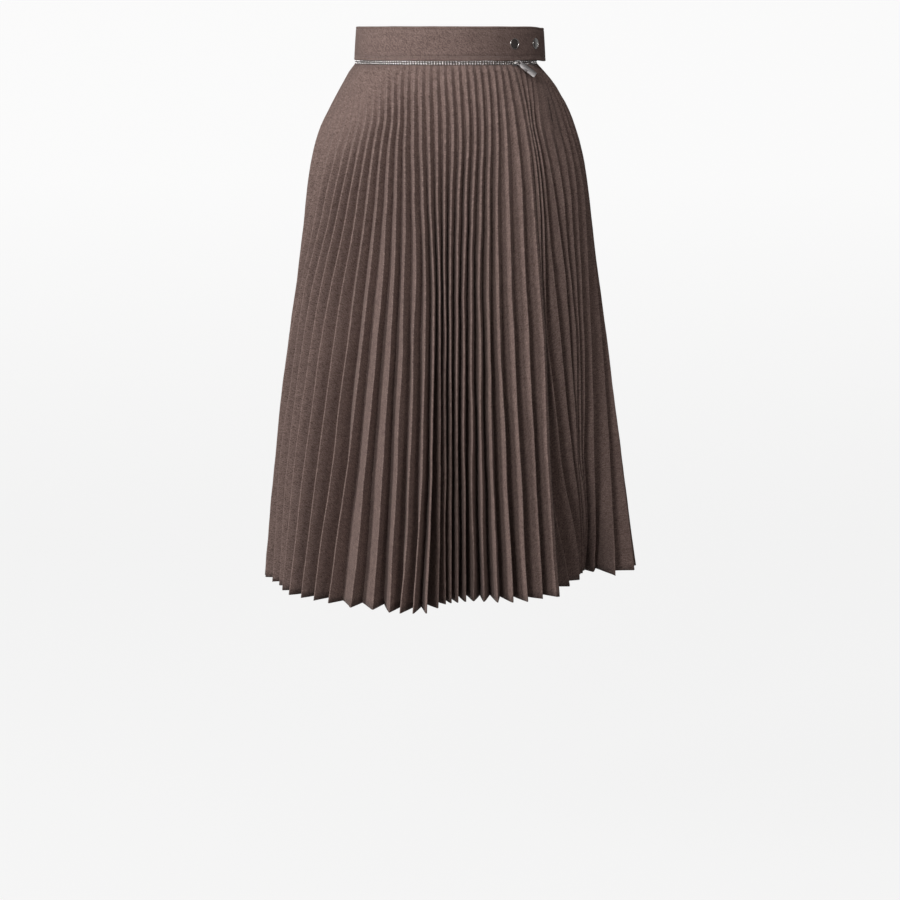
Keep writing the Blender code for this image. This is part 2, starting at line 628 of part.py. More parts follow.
# ---------------------------------------------------------------- the skirt
def build():
    """Make every piece of the skirt."""
    clear_scene()
    skirt = new_collection("pleated_midi_skirt")
    helpers = new_collection("helpers")
    wool = make_material("brown_wool", (0.115, 0.078, 0.070), 0.85, 0.0)
    band_wool = make_material("waistband_wool", (0.120, 0.082, 0.073), 0.85, 0.0)
    teeth = make_material("zip_metal", (0.62, 0.60, 0.57), 0.30, 1.0)
    nickel = make_material("polished_nickel", (0.55, 0.53, 0.50), 0.18, 1.0)
    satin = make_material("satin_nickel", (0.50, 0.49, 0.47), 0.35, 1.0)

    make_panel("pleated_back_panel", BACK_FOLDS, BACK_PLEAT_AT_CENTRE, True, skirt, wool)
    make_panel("pleated_front_panel", FRONT_FOLDS, FRONT_PLEAT_AT_CENTRE, False, skirt, wool)
    make_waistband(skirt, band_wool)

    half_slider = math.degrees((SLIDER_LENGTH / 2 + SEAT_GAP) / math.hypot(
        ZIP_HALF[0] * math.cos(math.radians(SLIDER_ANGLE)),
        ZIP_HALF[1] * math.sin(math.radians(SLIDER_ANGLE)),
    ))
    closed_from = ZIP_FAR_END + ZIP_END_GAP
    closed_to = 360.0 + SLIDER_ANGLE - half_slider
    closed = (closed_from, closed_to, ZIP_TOP_Z, ZIP_HEIGHT, ZIP_COLUMNS)
    make_zip_strip("zip_chain", *closed, skirt, teeth)
    open_from = SLIDER_ANGLE + half_slider
    row_tops = {"zip_upper_row": ZIP_TOP_Z, "zip_lower_row": ZIP_BOTTOM_Z + ZIP_ROW_HEIGHT}
    for name, top in row_tops.items():
        opened = (open_from, ZIP_FAR_END, top, ZIP_ROW_HEIGHT, ZIP_OPEN_COLUMNS)
        make_zip_strip(name, *opened, skirt, teeth)
    make_slider(skirt, helpers, nickel)
    make_pull(skirt, helpers, satin)
    for name, angle in SNAP_ANGLES.items():
        make_snap_cap(name, angle, skirt, nickel)


build()
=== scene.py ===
import json
import math
from collections import namedtuple

import bmesh
import bpy
import numpy as np
from mathutils import Matrix, Vector

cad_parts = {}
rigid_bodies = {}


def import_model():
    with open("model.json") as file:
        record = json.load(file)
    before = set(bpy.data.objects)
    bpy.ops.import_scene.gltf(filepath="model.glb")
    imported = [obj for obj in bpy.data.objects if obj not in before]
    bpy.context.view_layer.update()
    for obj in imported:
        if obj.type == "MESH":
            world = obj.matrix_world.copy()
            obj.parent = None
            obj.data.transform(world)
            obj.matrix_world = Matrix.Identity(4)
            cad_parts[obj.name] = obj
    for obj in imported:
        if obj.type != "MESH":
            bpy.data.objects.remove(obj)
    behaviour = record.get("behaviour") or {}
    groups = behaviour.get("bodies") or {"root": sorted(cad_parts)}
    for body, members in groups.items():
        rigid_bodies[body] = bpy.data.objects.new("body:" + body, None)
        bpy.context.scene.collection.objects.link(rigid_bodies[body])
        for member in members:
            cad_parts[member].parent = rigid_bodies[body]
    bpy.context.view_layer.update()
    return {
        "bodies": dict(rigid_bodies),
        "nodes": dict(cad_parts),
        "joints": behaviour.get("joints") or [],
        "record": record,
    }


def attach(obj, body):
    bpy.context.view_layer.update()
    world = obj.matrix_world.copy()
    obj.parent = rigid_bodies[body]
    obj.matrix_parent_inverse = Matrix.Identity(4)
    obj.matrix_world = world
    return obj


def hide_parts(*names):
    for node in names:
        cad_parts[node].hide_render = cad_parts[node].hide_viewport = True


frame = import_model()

scene = bpy.context.scene

# ==== Studio ==================================================================================
# The skirt hangs as worn, at waist height over a white sweep of paper that turns up into a wall.
# A strong and a weaker soft box light it from the wearer's right, a weak one from the left and one
# from above. The room gives a low warm light. The camera looks down a little from waist height.
CAMERA_PLACE = (0.002, -2.9, 0.0307)
CAMERA_DOWN = 11.0
CAMERA_LENS = 88.72
CAMERA_SENSOR = 36.0
CAMERA_REACH = 40.0
SOFT_BOX_AIM = (0.0, 0.0, -0.3)
ROOM_COLOUR = (1.0, 0.84, 0.79, 1.0)
ROOM_STRENGTH = 0.035
FLOOR_Z = -1.13
SWEEP_WIDTH = 14.0
SWEEP_FRONT = -4.2
SWEEP_BACK = 3.4
SWEEP_RADIUS = 1.6
SWEEP_TOP = 4.2
SWEEP_STEPS = 24
PAPER_BASE = (0.04, 0.04, 0.04, 1.0)
PAPER_ROUGHNESS = 0.9
# The paper's glow seen by the camera: painted light, lower on the floor than up the wall.
PAPER_PAINTED_LIGHT = (0.868, 0.935)
PAPER_GLOW = (0.06, 0.20)
PAPER_BRIGHTEST_Z = -0.4

# One row for each soft box: its place, size, power in watts and colour.
SoftBox = namedtuple("SoftBox", "name place width height power colour")
SOFT_BOXES = (
    SoftBox("soft_box_side", (-2.8, -1.75, 1.15), 1.0, 1.8, 98.0, (1.0, 0.985, 0.97)),
    SoftBox("soft_box_front", (-1.33, -2.98, 1.15), 1.0, 1.8, 55.0, (1.0, 0.985, 0.97)),
    SoftBox("soft_box_fill", (1.7, -2.9, 0.9), 1.1, 1.8, 23.0, (1.0, 0.93, 0.89)),
    SoftBox("soft_box_top", (0.0, -1.3, 2.3), 1.2, 0.8, 8.0, (1.0, 0.98, 0.96)),
)


def show(name, data):
    """A new object in the scene."""
    obj = bpy.data.objects.new(name, data)
    scene.collection.objects.link(obj)
    return obj


def new_material(name):
    """An empty node material, its tree and its shader."""
    material = bpy.data.materials.new(name)
    material.use_nodes = True
    return material, material.node_tree, material.node_tree.nodes["Principled BSDF"]


def add_node(tree, kind, inputs=None, **options):
    """Add a node, set its options, and fill its inputs with values or with other sockets."""
    node = tree.nodes.new(kind)
    for option, value in options.items():
        setattr(node, option, value)
    for socket, value in (inputs or {}).items():
        if isinstance(value, bpy.types.NodeSocket):
            tree.links.new(value, node.inputs[socket])
        else:
            node.inputs[socket].default_value = value
    return node


camera_data = bpy.data.cameras.new("studio_camera")
camera_data.lens = CAMERA_LENS
camera_data.sensor_width = CAMERA_SENSOR
camera_data.clip_end = CAMERA_REACH
camera = show("studio_camera", camera_data)
camera.location = CAMERA_PLACE
camera.rotation_euler = (math.radians(90.0 - CAMERA_DOWN), 0.0, 0.0)
scene.camera = camera
scene.view_settings.view_transform = "Standard"

for soft_box in SOFT_BOXES:
    lamp = bpy.data.lights.new(soft_box.name, "AREA")
    lamp.shape = "RECTANGLE"
    lamp.size = soft_box.width
    lamp.size_y = soft_box.height
    lamp.energy = soft_box.power
    lamp.color = soft_box.colour
    box = show(soft_box.name, lamp)
    box.location = soft_box.place
    to_skirt = Vector(SOFT_BOX_AIM) - Vector(soft_box.place)
    box.rotation_euler = to_skirt.to_track_quat("-Z", "Y").to_euler()

world = bpy.data.worlds.new("studio_room")
world.use_nodes = True
room = world.node_tree.nodes["Background"]
room.inputs["Color"].default_value = ROOM_COLOUR
room.inputs["Strength"].default_value = ROOM_STRENGTH
scene.world = world

sweep_line = [(SWEEP_FRONT, FLOOR_Z)]
for t in np.radians(np.linspace(-90.0, 0.0, SWEEP_STEPS)):
    sweep_line.append(
        (
            SWEEP_BACK - SWEEP_RADIUS + SWEEP_RADIUS * math.cos(t),
            FLOOR_Z + SWEEP_RADIUS * (1 + math.sin(t)),
        )
    )
sweep_line.append((SWEEP_BACK, SWEEP_TOP))
sweep_points = [(side * SWEEP_WIDTH / 2, y, z) for y, z in sweep_line for side in (-1, 1)]
sweep_faces = [(2 * i, 2 * i + 1, 2 * i + 3, 2 * i + 2) for i in range(len(sweep_line) - 1)]
sweep_mesh = bpy.data.meshes.new("paper_sweep")
sweep_mesh.from_pydata(sweep_points, [], sweep_faces)
sweep_mesh.shade_smooth()

# The paper glows to the camera with painted light, a little darker on the floor than up the wall,
# and glows only weakly on the skirt and a little more in reflections.
paper, paper_tree, paper_shader = new_material("white_paper")
paper_shader.inputs["Base Color"].default_value = PAPER_BASE
paper_shader.inputs["Emission Color"].default_value = (1.0, 1.0, 1.0, 1.0)
paper_shader.inputs["Roughness"].default_value = PAPER_ROUGHNESS
paper_place = add_node(paper_tree, "ShaderNodeTexCoord").outputs["Object"]
paper_height = add_node(paper_tree, "ShaderNodeSeparateXYZ", {0: paper_place}).outputs["Z"]
paper_rays = add_node(paper_tree, "ShaderNodeLightPath").outputs
painted_light_range = {
    "Value": paper_height, "From Min": FLOOR_Z, "From Max": PAPER_BRIGHTEST_Z,
    "To Min": PAPER_PAINTED_LIGHT[0], "To Max": PAPER_PAINTED_LIGHT[1],
}
paper_painted_light = add_node(paper_tree, "ShaderNodeMapRange", painted_light_range).outputs[0]
glow_range = {
    "Value": paper_rays["Is Glossy Ray"], "To Min": PAPER_GLOW[0], "To Max": PAPER_GLOW[1],
}
paper_glow = add_node(paper_tree, "ShaderNodeMapRange", glow_range).outputs[0]
level_range = {
    "Value": paper_rays["Is Camera Ray"], "To Min": paper_glow, "To Max": paper_painted_light,
}
paper_level = add_node(paper_tree, "ShaderNodeMapRange", level_range).outputs[0]
paper_tree.links.new(paper_level, paper_shader.inputs["Emission Strength"])
sweep_mesh.materials.append(paper)
sweep = show("paper_sweep", sweep_mesh)

# ==== Pleated skirt ===========================================================================
# Two half circles of brown melange worsted, each pressed into 38 sunray pleats that open from the
# waist to the hem and hang over the hips. The second panel starts under the first one's free edge
# at the wearer's left front, which opens into a slit, and both meet in a seam at the back right.
SEAM_Z = -0.0263
SEAM_HALF = (0.1205, 0.0940)
SKIRT_DROP = 0.6765
HEM_TILT = 0.033
PLEATS_PER_PANEL = 38
FIRST_PLEAT_ARC = 0.0029
PLEAT_SIDE_SEAM = 0.00462
PLEAT_SIDE_HEM = 0.0325
FOLD_START_DROP = 0.15
FOLD_GROWTH = 1.3
NORMAL_BLEND = 0.5
LEAN_DROP = (0.05, 0.40)
FRONT_PLEAT_AT_CENTRE = 29.0
BACK_PLEAT_AT_CENTRE = -9.0
EDGE_DEPTH_SHARE = 0.25
SEAT_GAP = 0.0003
CUT_INNER = 2 * PLEATS_PER_PANEL * PLEAT_SIDE_SEAM / math.pi

CLOTH_THICKNESS = 0.0008
CREST = 0.0004
FOLD_RADIUS_SEAM = 0.0013
FOLD_RADIUS_HEM = 0.00062
FOLD_POINTS = 5
SIDE_POINTS = 2
CLOTH_ROWS = 70
FOLD_SHARPENS_BY = 3.0
STEEPEST_TANGENT = 0.98
PRESSED_FLAT_FROM = -26.0
PRESSED_FLAT_TO = -48.0
PRESSED_FLAT_END = -150.0
PRESSED_FLAT_FADE = 20.0
PRESSED_FLAT_DROP = (0.01, 0.17)
PRESSED_FLAT_SHARE = 0.88
LEFT_FLAT_IN = (43.0, 48.0)
LEFT_FLAT_OUT = (60.0, 72.0)
LEFT_FLAT_DROP = (0.04, 0.13)
LEFT_FLAT_SHARE = 0.7
HOLLOW_DEPTH = 0.0061
HOLLOW_IN_SPAN = (52.0, 80.0)
HOLLOW_OUT_SPAN = (100.0, 150.0)
HOLLOW_DROP = 0.030

WANDER_GROWS = (0.02, 0.25)
RIDGE_WANDERS_OUT = 0.0007
OUT_WAVES = (0.21, 0.37)
RIDGE_WANDERS_ASIDE = 0.0005
ASIDE_WAVES = (0.17, 0.43)
SIDE_BULGE = 0.006
SIDE_BULGE_VARIES = 0.010
BULGE_WAVES = (0.15, 0.29)
HEM_UNEVEN = 0.0008
FRONT_SEED = 11
BACK_SEED = 12
WAVE_HEIGHT = 0.0016
WAVES_PER_METRE = 24.0
FRONT_WAVE_SEED = 3.0
BACK_WAVE_SEED = 8.0

# One row for each ring: drop below the waist seam, and its reach from the middle to the wearer's
# right and left, to the front and to the back.
Ring = namedtuple("Ring", "drop right left front back")
RINGS = (
    Ring(0.000, 0.1205, 0.1205, 0.0940, 0.0940),
    Ring(0.008, 0.1269, 0.1269, 0.0963, 0.0974),
    Ring(0.018, 0.1326, 0.1326, 0.0992, 0.1016),
    Ring(0.033, 0.1410, 0.1410, 0.1029, 0.1077),
    Ring(0.055, 0.1532, 0.1539, 0.1070, 0.1150),
    Ring(0.080, 0.1655, 0.1638, 0.1115, 0.1216),
    Ring(0.110, 0.1750, 0.1727, 0.1154, 0.1281),
    Ring(0.141, 0.1808, 0.1787, 0.1185, 0.1330),
    Ring(0.239, 0.1930, 0.1913, 0.1290, 0.1440),
    Ring(0.356, 0.2105, 0.2080, 0.1435, 0.1560),
    Ring(0.512, 0.2327, 0.2288, 0.1640, 0.1740),
    Ring(SKIRT_DROP, 0.2495, 0.2495, 0.1880, 0.1960),
)

# One row for each main fold: the pleat's number in its panel, the angle round the body of its
# ridge at five heights, its reach at the hem as a share of the ring there, and how far the valley
# after it leans towards it, as a share of half the pleat's width. The first and last rows are the
# panel's own edges.
FOLD_DROPS = {"high_hip": 0.08, "hip": 0.17, "thigh": 0.30, "knee": 0.49, "hem": SKIRT_DROP}
Fold = namedtuple("Fold", "pleat high_hip hip thigh knee hem reach lean")
FRONT_FOLDS = (
    Fold(0.50, -130.0, -133.0, -141.0, -145.0, -147.0, 0.88, 0.0),
    Fold(4.0, -112.0, -116.0, -124.0, -128.0, -131.0, 1.01, 0.0),
    Fold(7.0, -96.0, -101.0, -110.0, -115.0, -119.0, 0.91, 0.0),
    Fold(9.0, -85.5, -91.0, -100.0, -106.0, -110.0, 0.98, 0.0),
    Fold(11.0, -73.5, -79.5, -91.0, -98.0, -102.0, 1.00, 0.0),
    Fold(13.0, -59.5, -64.5, -77.5, -85.5, -90.5, 0.99, 0.0),
    Fold(14.0, -53.6, -58.5, -70.8, -78.5, -83.3, 0.95, 0.0),
    Fold(15.0, -48.7, -53.0, -63.9, -70.8, -75.8, 0.93, 0.0),
    Fold(16.0, -44.2, -48.0, -57.1, -62.2, -67.0, 0.95, 0.0),
    Fold(17.0, -40.2, -43.2, -50.3, -54.6, -59.1, 0.97, 0.0),
    Fold(18.0, -36.3, -38.5, -43.7, -47.8, -53.0, 0.96, 0.0),
    Fold(19.0, -32.6, -33.8, -37.3, -41.2, -47.0, 0.955, 0.1),
    Fold(20.0, -29.0, -29.3, -31.1, -34.4, -39.6, 0.97, 0.5),
    Fold(21.0, -25.5, -24.9, -25.2, -26.8, -29.6, 1.01, 0.75),
    Fold(22.0, -22.1, -20.8, -20.4, -20.6, -22.1, 1.025, 0.75),
    Fold(23.0, -18.8, -17.1, -16.3, -15.8, -16.8, 1.04, 0.4),
    Fold(24.0, -15.3, -13.3, -11.9, -11.7, -13.1, 1.06, 0.0),
    Fold(25.0, -11.7, -9.8, -8.0, -7.9, -9.5, 1.08, 0.1),
    Fold(26.0, -8.2, -6.9, -5.0, -5.0, -6.0, 1.07, -0.4),
    Fold(27.0, -4.7, -4.2, -2.9, -2.8, -3.2, 0.93, -0.9),
    Fold(28.0, -1.2, -1.5, -1.2, -1.1, -1.2, 0.84, 0.0),
    Fold(29.0, 2.2, 1.2, 0.8, 0.8, 1.0, 0.815, 0.0),
    Fold(30.0, 5.6, 4.0, 3.3, 3.2, 3.3, 0.80, 0.0),
    Fold(31.0, 8.9, 6.8, 5.9, 5.8, 6.2, 0.795, 0.0),
    Fold(32.0, 12.1, 9.8, 8.7, 8.7, 9.4, 0.79, 0.0),
    Fold(33.0, 15.4, 12.9, 11.9, 11.9, 12.8, 0.82, 0.1),
    Fold(34.0, 18.7, 16.2, 15.2, 15.6, 16.9, 0.86, 0.25),
    Fold(35.0, 22.2, 19.8, 19.2, 20.0, 22.0, 0.885, 0.3),
    Fold(36.0, 26.3, 24.7, 24.3, 25.1, 26.6, 0.905, 0.3),
    Fold(37.0, 31.3, 30.6, 30.6, 31.1, 33.0, 0.89, 0.3),
    Fold(38.0, 36.3, 35.8, 36.8, 36.4, 38.1, 0.90, 0.3),
    Fold(38.47, 37.8, 37.4, 38.5, 38.0, 39.6, 0.90, 0.3),
)
BACK_FOLDS = (
    Fold(0.53, 38.1, 38.0, 38.3, 38.4, 51.9, 0.65, 0.0),
    Fold(1.0, 39.1, 39.0, 39.2, 39.6, 56.2, 0.765, 0.0),
    Fold(2.0, 40.4, 40.7, 40.8, 48.1, 70.6, 0.738, 0.0),
    Fold(3.0, 42.2, 43.2, 46.9, 57.4, 83.1, 0.713, 0.0),
    Fold(4.0, 45.4, 48.2, 54.0, 61.3, 85.1, 0.716, 0.0),
    Fold(5.0, 51.7, 53.4, 57.8, 63.2, 87.2, 0.720, 0.0),
    Fold(6.0, 58.6, 58.9, 61.6, 65.2, 89.4, 0.725, 0.0),
    Fold(7.0, 65.0, 65.2, 65.8, 67.7, 91.2, 0.732, 0.0),
    Fold(8.0, 71.0, 73.3, 73.2, 73.6, 88.1, 0.784, 0.0),
    Fold(9.0, 77.0, 81.2, 84.0, 83.8, 80.8, 0.902, 0.0),
    Fold(10.0, 82.5, 87.0, 90.2, 89.0, 86.6, 1.00, 0.0),
    Fold(11.0, 87.5, 92.0, 95.0, 95.0, 96.3, 1.02, 0.0),
    Fold(12.0, 92.0, 96.5, 99.5, 100.0, 101.5, 1.00, 0.0),
    Fold(15.0, 107.0, 110.5, 111.0, 111.0, 112.0, 0.89, 0.0),
    Fold(19.0, 127.0, 130.0, 128.0, 128.0, 128.0, 1.02, 0.0),
    Fold(23.0, 148.0, 150.0, 147.0, 146.0, 146.0, 0.87, 0.0),
    Fold(27.0, 169.0, 169.0, 165.0, 163.0, 162.0, 1.00, 0.0),
    Fold(30.0, 185.0, 184.0, 179.0, 177.0, 176.0, 0.90, 0.0),
    Fold(34.0, 206.0, 204.0, 198.0, 195.0, 193.0, 1.03, 0.0),
    Fold(38.5, 230.0, 227.0, 219.0, 215.0, 213.0, 0.88, 0.0),
)


def smooth_table(at, places, values):
    """Read a table at the given places with a curve that never overshoots its rows."""
    places = np.asarray(places, float)
    values = np.asarray(values, float)
    steps = np.diff(places)
    slopes = np.diff(values) / steps
    ends = np.empty(len(places))
    ends[0] = slopes[0]
    ends[-1] = slopes[-1]
    before, after = slopes[:-1], slopes[1:]
    same_way = before * after > 0
    total = np.where(same_way, before + after, 1.0)
    ends[1:-1] = np.where(same_way, 2 * before * after / total, 0.0)
    at = np.clip(at, places[0], places[-1])
    row = np.clip(np.searchsorted(places, at, side="right") - 1, 0, len(steps) - 1)
    share = (at - places[row]) / steps[row]
    rise = share * share * (3 - 2 * share)
    curve_in = share * (1 - share) ** 2 * steps[row] * ends[row]
    curve_out = share * share * (share - 1) * steps[row] * ends[row + 1]
    return values[row] * (1 - rise) + values[row + 1] * rise + curve_in + curve_out


def smooth_step(low, high, value):
    """Rise from 0 at low to 1 at high without a corner."""
    share = np.clip((value - low) / (high - low), 0.0, 1.0)
    return share * share * (3 - 2 * share)


def unit(vectors):
    """Vectors of length one, along the last axis."""
    return vectors / np.linalg.norm(vectors, axis=-1, keepdims=True)


def ellipse_point(angle, half_width, half_depth):
    """Point on an ellipse round the body, at an angle from the centre front."""
    turn = np.radians(angle)
    return np.stack([half_width * np.sin(turn), -half_depth * np.cos(turn)], axis=-1)


def ellipse_outward(angle, half_width, half_depth):
    """Outward direction of that ellipse, seen from above."""
    turn = np.radians(angle)
    return unit(np.stack([np.sin(turn) / half_width, -np.cos(turn) / half_depth], axis=-1))


def overlap_hollow(angle):
    """How far everything under the band's overlap is pressed in towards the body, at an angle."""
    pressed_in = HOLLOW_DEPTH * smooth_step(*HOLLOW_IN_SPAN, angle)
    return pressed_in * (1 - smooth_step(*HOLLOW_OUT_SPAN, angle))


def ring_sizes(drop, angle):
    """Half width and half depth of the drape's ring at a drop below the seam."""
    drops = [ring.drop for ring in RINGS]
    right = smooth_table(drop, drops, [ring.right for ring in RINGS])
    left = smooth_table(drop, drops, [ring.left for ring in RINGS])
    front = smooth_table(drop, drops, [ring.front for ring in RINGS])
    back = smooth_table(drop, drops, [ring.back for ring in RINGS])
    turn = np.radians(angle)
    return np.where(np.sin(turn) > 0, left, right), np.where(np.cos(turn) > 0, front, back)


def seam_angles(pleats, first_number):
    """Angles of the pleats at the seam, where they are spaced evenly along the edge."""
    turn = np.radians(np.arange(-400.0, 400.0, 0.25))
    half_width, half_depth = SEAM_HALF
    speed = np.hypot(half_width * np.cos(turn), half_depth * np.sin(turn))
    arc = np.concatenate([[0.0], np.cumsum((speed[1:] + speed[:-1]) / 2 * np.diff(turn))])
    arc -= np.interp(0.0, turn, arc)
    around = np.interp(math.tau, turn, arc)
    pitch = around / (2 * PLEATS_PER_PANEL)
    places = FIRST_PLEAT_ARC + (pleats - first_number) * pitch
    return np.degrees(np.interp(places, arc, turn))


def ridge_places(folds, pleats, first_number, drop):
    """Angle and reach of each ridge or edge of a panel at a drop below the seam."""
    numbers = [fold.pleat for fold in folds]
    levels = [0.0, *FOLD_DROPS.values()]
    angles = [seam_angles(pleats, first_number)]
    for height in FOLD_DROPS:
        angles.append(smooth_table(pleats, numbers, [getattr(fold, height) for fold in folds]))
    table = np.array(angles)
    angle = np.array([smooth_table(drop, levels, table[:, i]) for i in range(len(pleats))])
    depth_share = max(0.0, (drop - FOLD_START_DROP) / (SKIRT_DROP - FOLD_START_DROP))
    hem_reach = smooth_table(pleats, numbers, [fold.reach for fold in folds])
    reach = 1 + (hem_reach - 1) * depth_share**FOLD_GROWTH
    return angle, reach


def fold_lines(folds, first_number, edge_first, drop, wander):
    """Fold lines of a panel seen from above at a drop, and the way out at each of them."""
    ridges = np.arange(1, PLEATS_PER_PANEL + 1, dtype=float)
    start, end = folds[0].pleat, folds[-1].pleat
    places = np.concatenate([[start], ridges, [end]])
    angle, reach = ridge_places(folds, places, first_number, drop)
    half_width, half_depth = ring_sizes(drop, angle)
    points = ellipse_point(angle, half_width, half_depth) * reach[:, None]
    ring_out = ellipse_outward(angle, half_width, half_depth)
    pressed_in = overlap_hollow(angle) * (1 - smooth_step(0.0, HOLLOW_DROP, drop))
    points -= ring_out * pressed_in[:, None]
    points[1:-1] += ring_out[1:-1] * wander[:, :1]
    points[1:-1, 0] += -ring_out[1:-1, 1] * wander[:, 1]
    points[1:-1, 1] += ring_out[1:-1, 0] * wander[:, 1]

    side = PLEAT_SIDE_SEAM + (PLEAT_SIDE_HEM - PLEAT_SIDE_SEAM) * drop / SKIRT_DROP
    ridge_points = points[1:-1]
    along = np.diff(ridge_points, axis=0)
    half_pitch = np.linalg.norm(along, axis=1) / 2
    numbers = [fold.pleat for fold in folds]
    lean = smooth_table(ridges[:-1] + 0.5, numbers, [fold.lean for fold in folds])
    lean = lean * smooth_step(*LEAN_DROP, drop) * half_pitch
    depth = np.sqrt(np.maximum(side**2 - half_pitch**2, 0.0) * (1 - (lean / side) ** 2))
    middle_angle = (angle[1:-2] + angle[2:-1]) / 2
    pressed = smooth_step(PRESSED_FLAT_FROM, PRESSED_FLAT_TO, middle_angle)
    pressed = pressed * smooth_step(
        PRESSED_FLAT_END, PRESSED_FLAT_END + PRESSED_FLAT_FADE, middle_angle
    )
    pressed = pressed * (1 - smooth_step(*PRESSED_FLAT_DROP, drop)) * PRESSED_FLAT_SHARE
    left_flat = smooth_step(*LEFT_FLAT_IN, middle_angle)
    left_flat = left_flat * (1 - smooth_step(*LEFT_FLAT_OUT, middle_angle))
    left_flat = left_flat * (1 - smooth_step(*LEFT_FLAT_DROP, drop)) * LEFT_FLAT_SHARE
    depth = depth * (1 - pressed) * (1 - left_flat)
    local_out = unit(np.stack([along[:, 1], -along[:, 0]], axis=-1))
    middle_out = unit(ring_out[1:-2] + ring_out[2:-1])
    out = unit(local_out * NORMAL_BLEND + middle_out * (1 - NORMAL_BLEND))
    middles = (ridge_points[1:] + ridge_points[:-1]) / 2 - unit(along) * lean[:, None]
    valleys = middles - out * depth[:, None]

    slit_end = points[0] if edge_first else points[-1]
    seam_end = points[-1] if edge_first else points[0]
    slit_out = ring_out[0] if edge_first else ring_out[-1]
    seam_out = ring_out[-1] if edge_first else ring_out[0]
    near_depth = depth[0] if edge_first else depth[-1]
    far_depth = depth[-1] if edge_first else depth[0]
    open_share = 1 - drop / SKIRT_DROP
    slit_end = slit_end - slit_out * near_depth * EDGE_DEPTH_SHARE * open_share
    seam_side = np.array([-seam_out[1], seam_out[0]]) * (SEAT_GAP + CLOTH_THICKNESS) / 2
    seam_end = seam_end - seam_out * far_depth + (-seam_side if edge_first else seam_side)

    count = 2 * PLEATS_PER_PANEL + 1
    lines = np.empty((count, 2))
    lines[0] = slit_end if edge_first else seam_end
    lines[-1] = seam_end if edge_first else slit_end
    lines[1::2] = ridge_points
    lines[2:-1:2] = valleys
    outs = np.empty((count, 2))
    outs[0], outs[-1] = (slit_out, seam_out) if edge_first else (seam_out, slit_out)
    to_next = unit(np.diff(lines, axis=0))
    rightwards = np.stack([to_next[:, 1], -to_next[:, 0]], axis=-1)
    outs[1:-1] = unit(rightwards[1:] + rightwards[:-1])
    return lines, outs


def rounded_line(lines, outs, radius, bulge):
    """The cloth's middle line: an arc round each fold and a nearly flat side between."""
    count = len(lines)
    half = CLOTH_THICKNESS / 2
    kind = np.where(np.arange(count) % 2 == 1, 1.0, -1.0)
    centres = lines + outs * (kind * (CREST - half - radius))[:, None]
    radii = np.full(count, radius)
    for end in (0, -1):
        centres[end] = lines[end] - outs[end] * half
        radii[end] = 0.0
    reach = np.diff(centres, axis=0)
    length = np.linalg.norm(reach, axis=1)
    signed = kind * radii
    steepest = STEEPEST_TANGENT * length
    swing = np.arcsin(np.clip(signed[:-1] - signed[1:], -steepest, steepest) / length)
    heading = np.arctan2(reach[:, 1], reach[:, 0]) + swing
    # edge is the mask for the painted highlight, rising to 1 on each ridge's nose.
    points, edge = [centres[0]], [0.0]
    share = np.linspace(0.0, 1.0, FOLD_POINTS)
    inner = np.linspace(0.0, 1.0, SIDE_POINTS + 2)[1:-1]
    for i in range(1, count):
        before = heading[i - 1]
        across = np.array([math.sin(before), -math.cos(before)])
        arrive = centres[i] + across * kind[i] * radii[i]
        leave = points[-1]
        hollow = bulge[i - 1] * np.linalg.norm(arrive - leave)
        for t in inner:
            points.append(leave * (1 - t) + arrive * t + across * hollow * math.sin(math.pi * t))
            edge.append(0.0)
        if i == count - 1:
            points.append(arrive)
            edge.append(0.0)
            break
        turn = (heading[i] - before) * kind[i]
        turn = (turn + math.pi / 2) % math.tau - math.pi / 2
        for t in share:
            way = before + kind[i] * turn * t
            normal = np.array([math.sin(way), -math.cos(way)])
            points.append(centres[i] + normal * kind[i] * radii[i])
            edge.append(math.sin(math.pi * t) if kind[i] > 0 else 0.0)
    return np.array(points), np.array(edge)


def slow_waves(random, count, drops, lengths):
    """Smooth random values down the cloth for each fold, from two sine waves each."""
    value = np.zeros((len(drops), count))
    for wave in lengths:
        phase = random.uniform(0.0, math.tau, count)
        size = random.normal(0.0, 1.0, count)
        value += size * np.sin(drops[:, None] / wave * math.tau + phase)
    return value / math.sqrt(len(lengths))


def quads_between(upper, lower):
    """Faces between rows of vertex numbers and the rows below them."""
    corners = [upper[:, :-1], lower[:, :-1], lower[:, 1:], upper[:, 1:]]
    return np.stack(corners, axis=-1).reshape(-1, 4).tolist()


def set_flat_cut(mesh, flat):
    """Keep each point's place in the flat cut, in metres, as the mesh's UV map."""
    loops = np.empty(len(mesh.loops), dtype=np.int32)
    mesh.loops.foreach_get("vertex_index", loops)
    flat_cut = mesh.uv_layers.new(name="flat_cut")
    flat_cut.data.foreach_set("uv", flat.reshape(-1, 2)[loops].ravel())


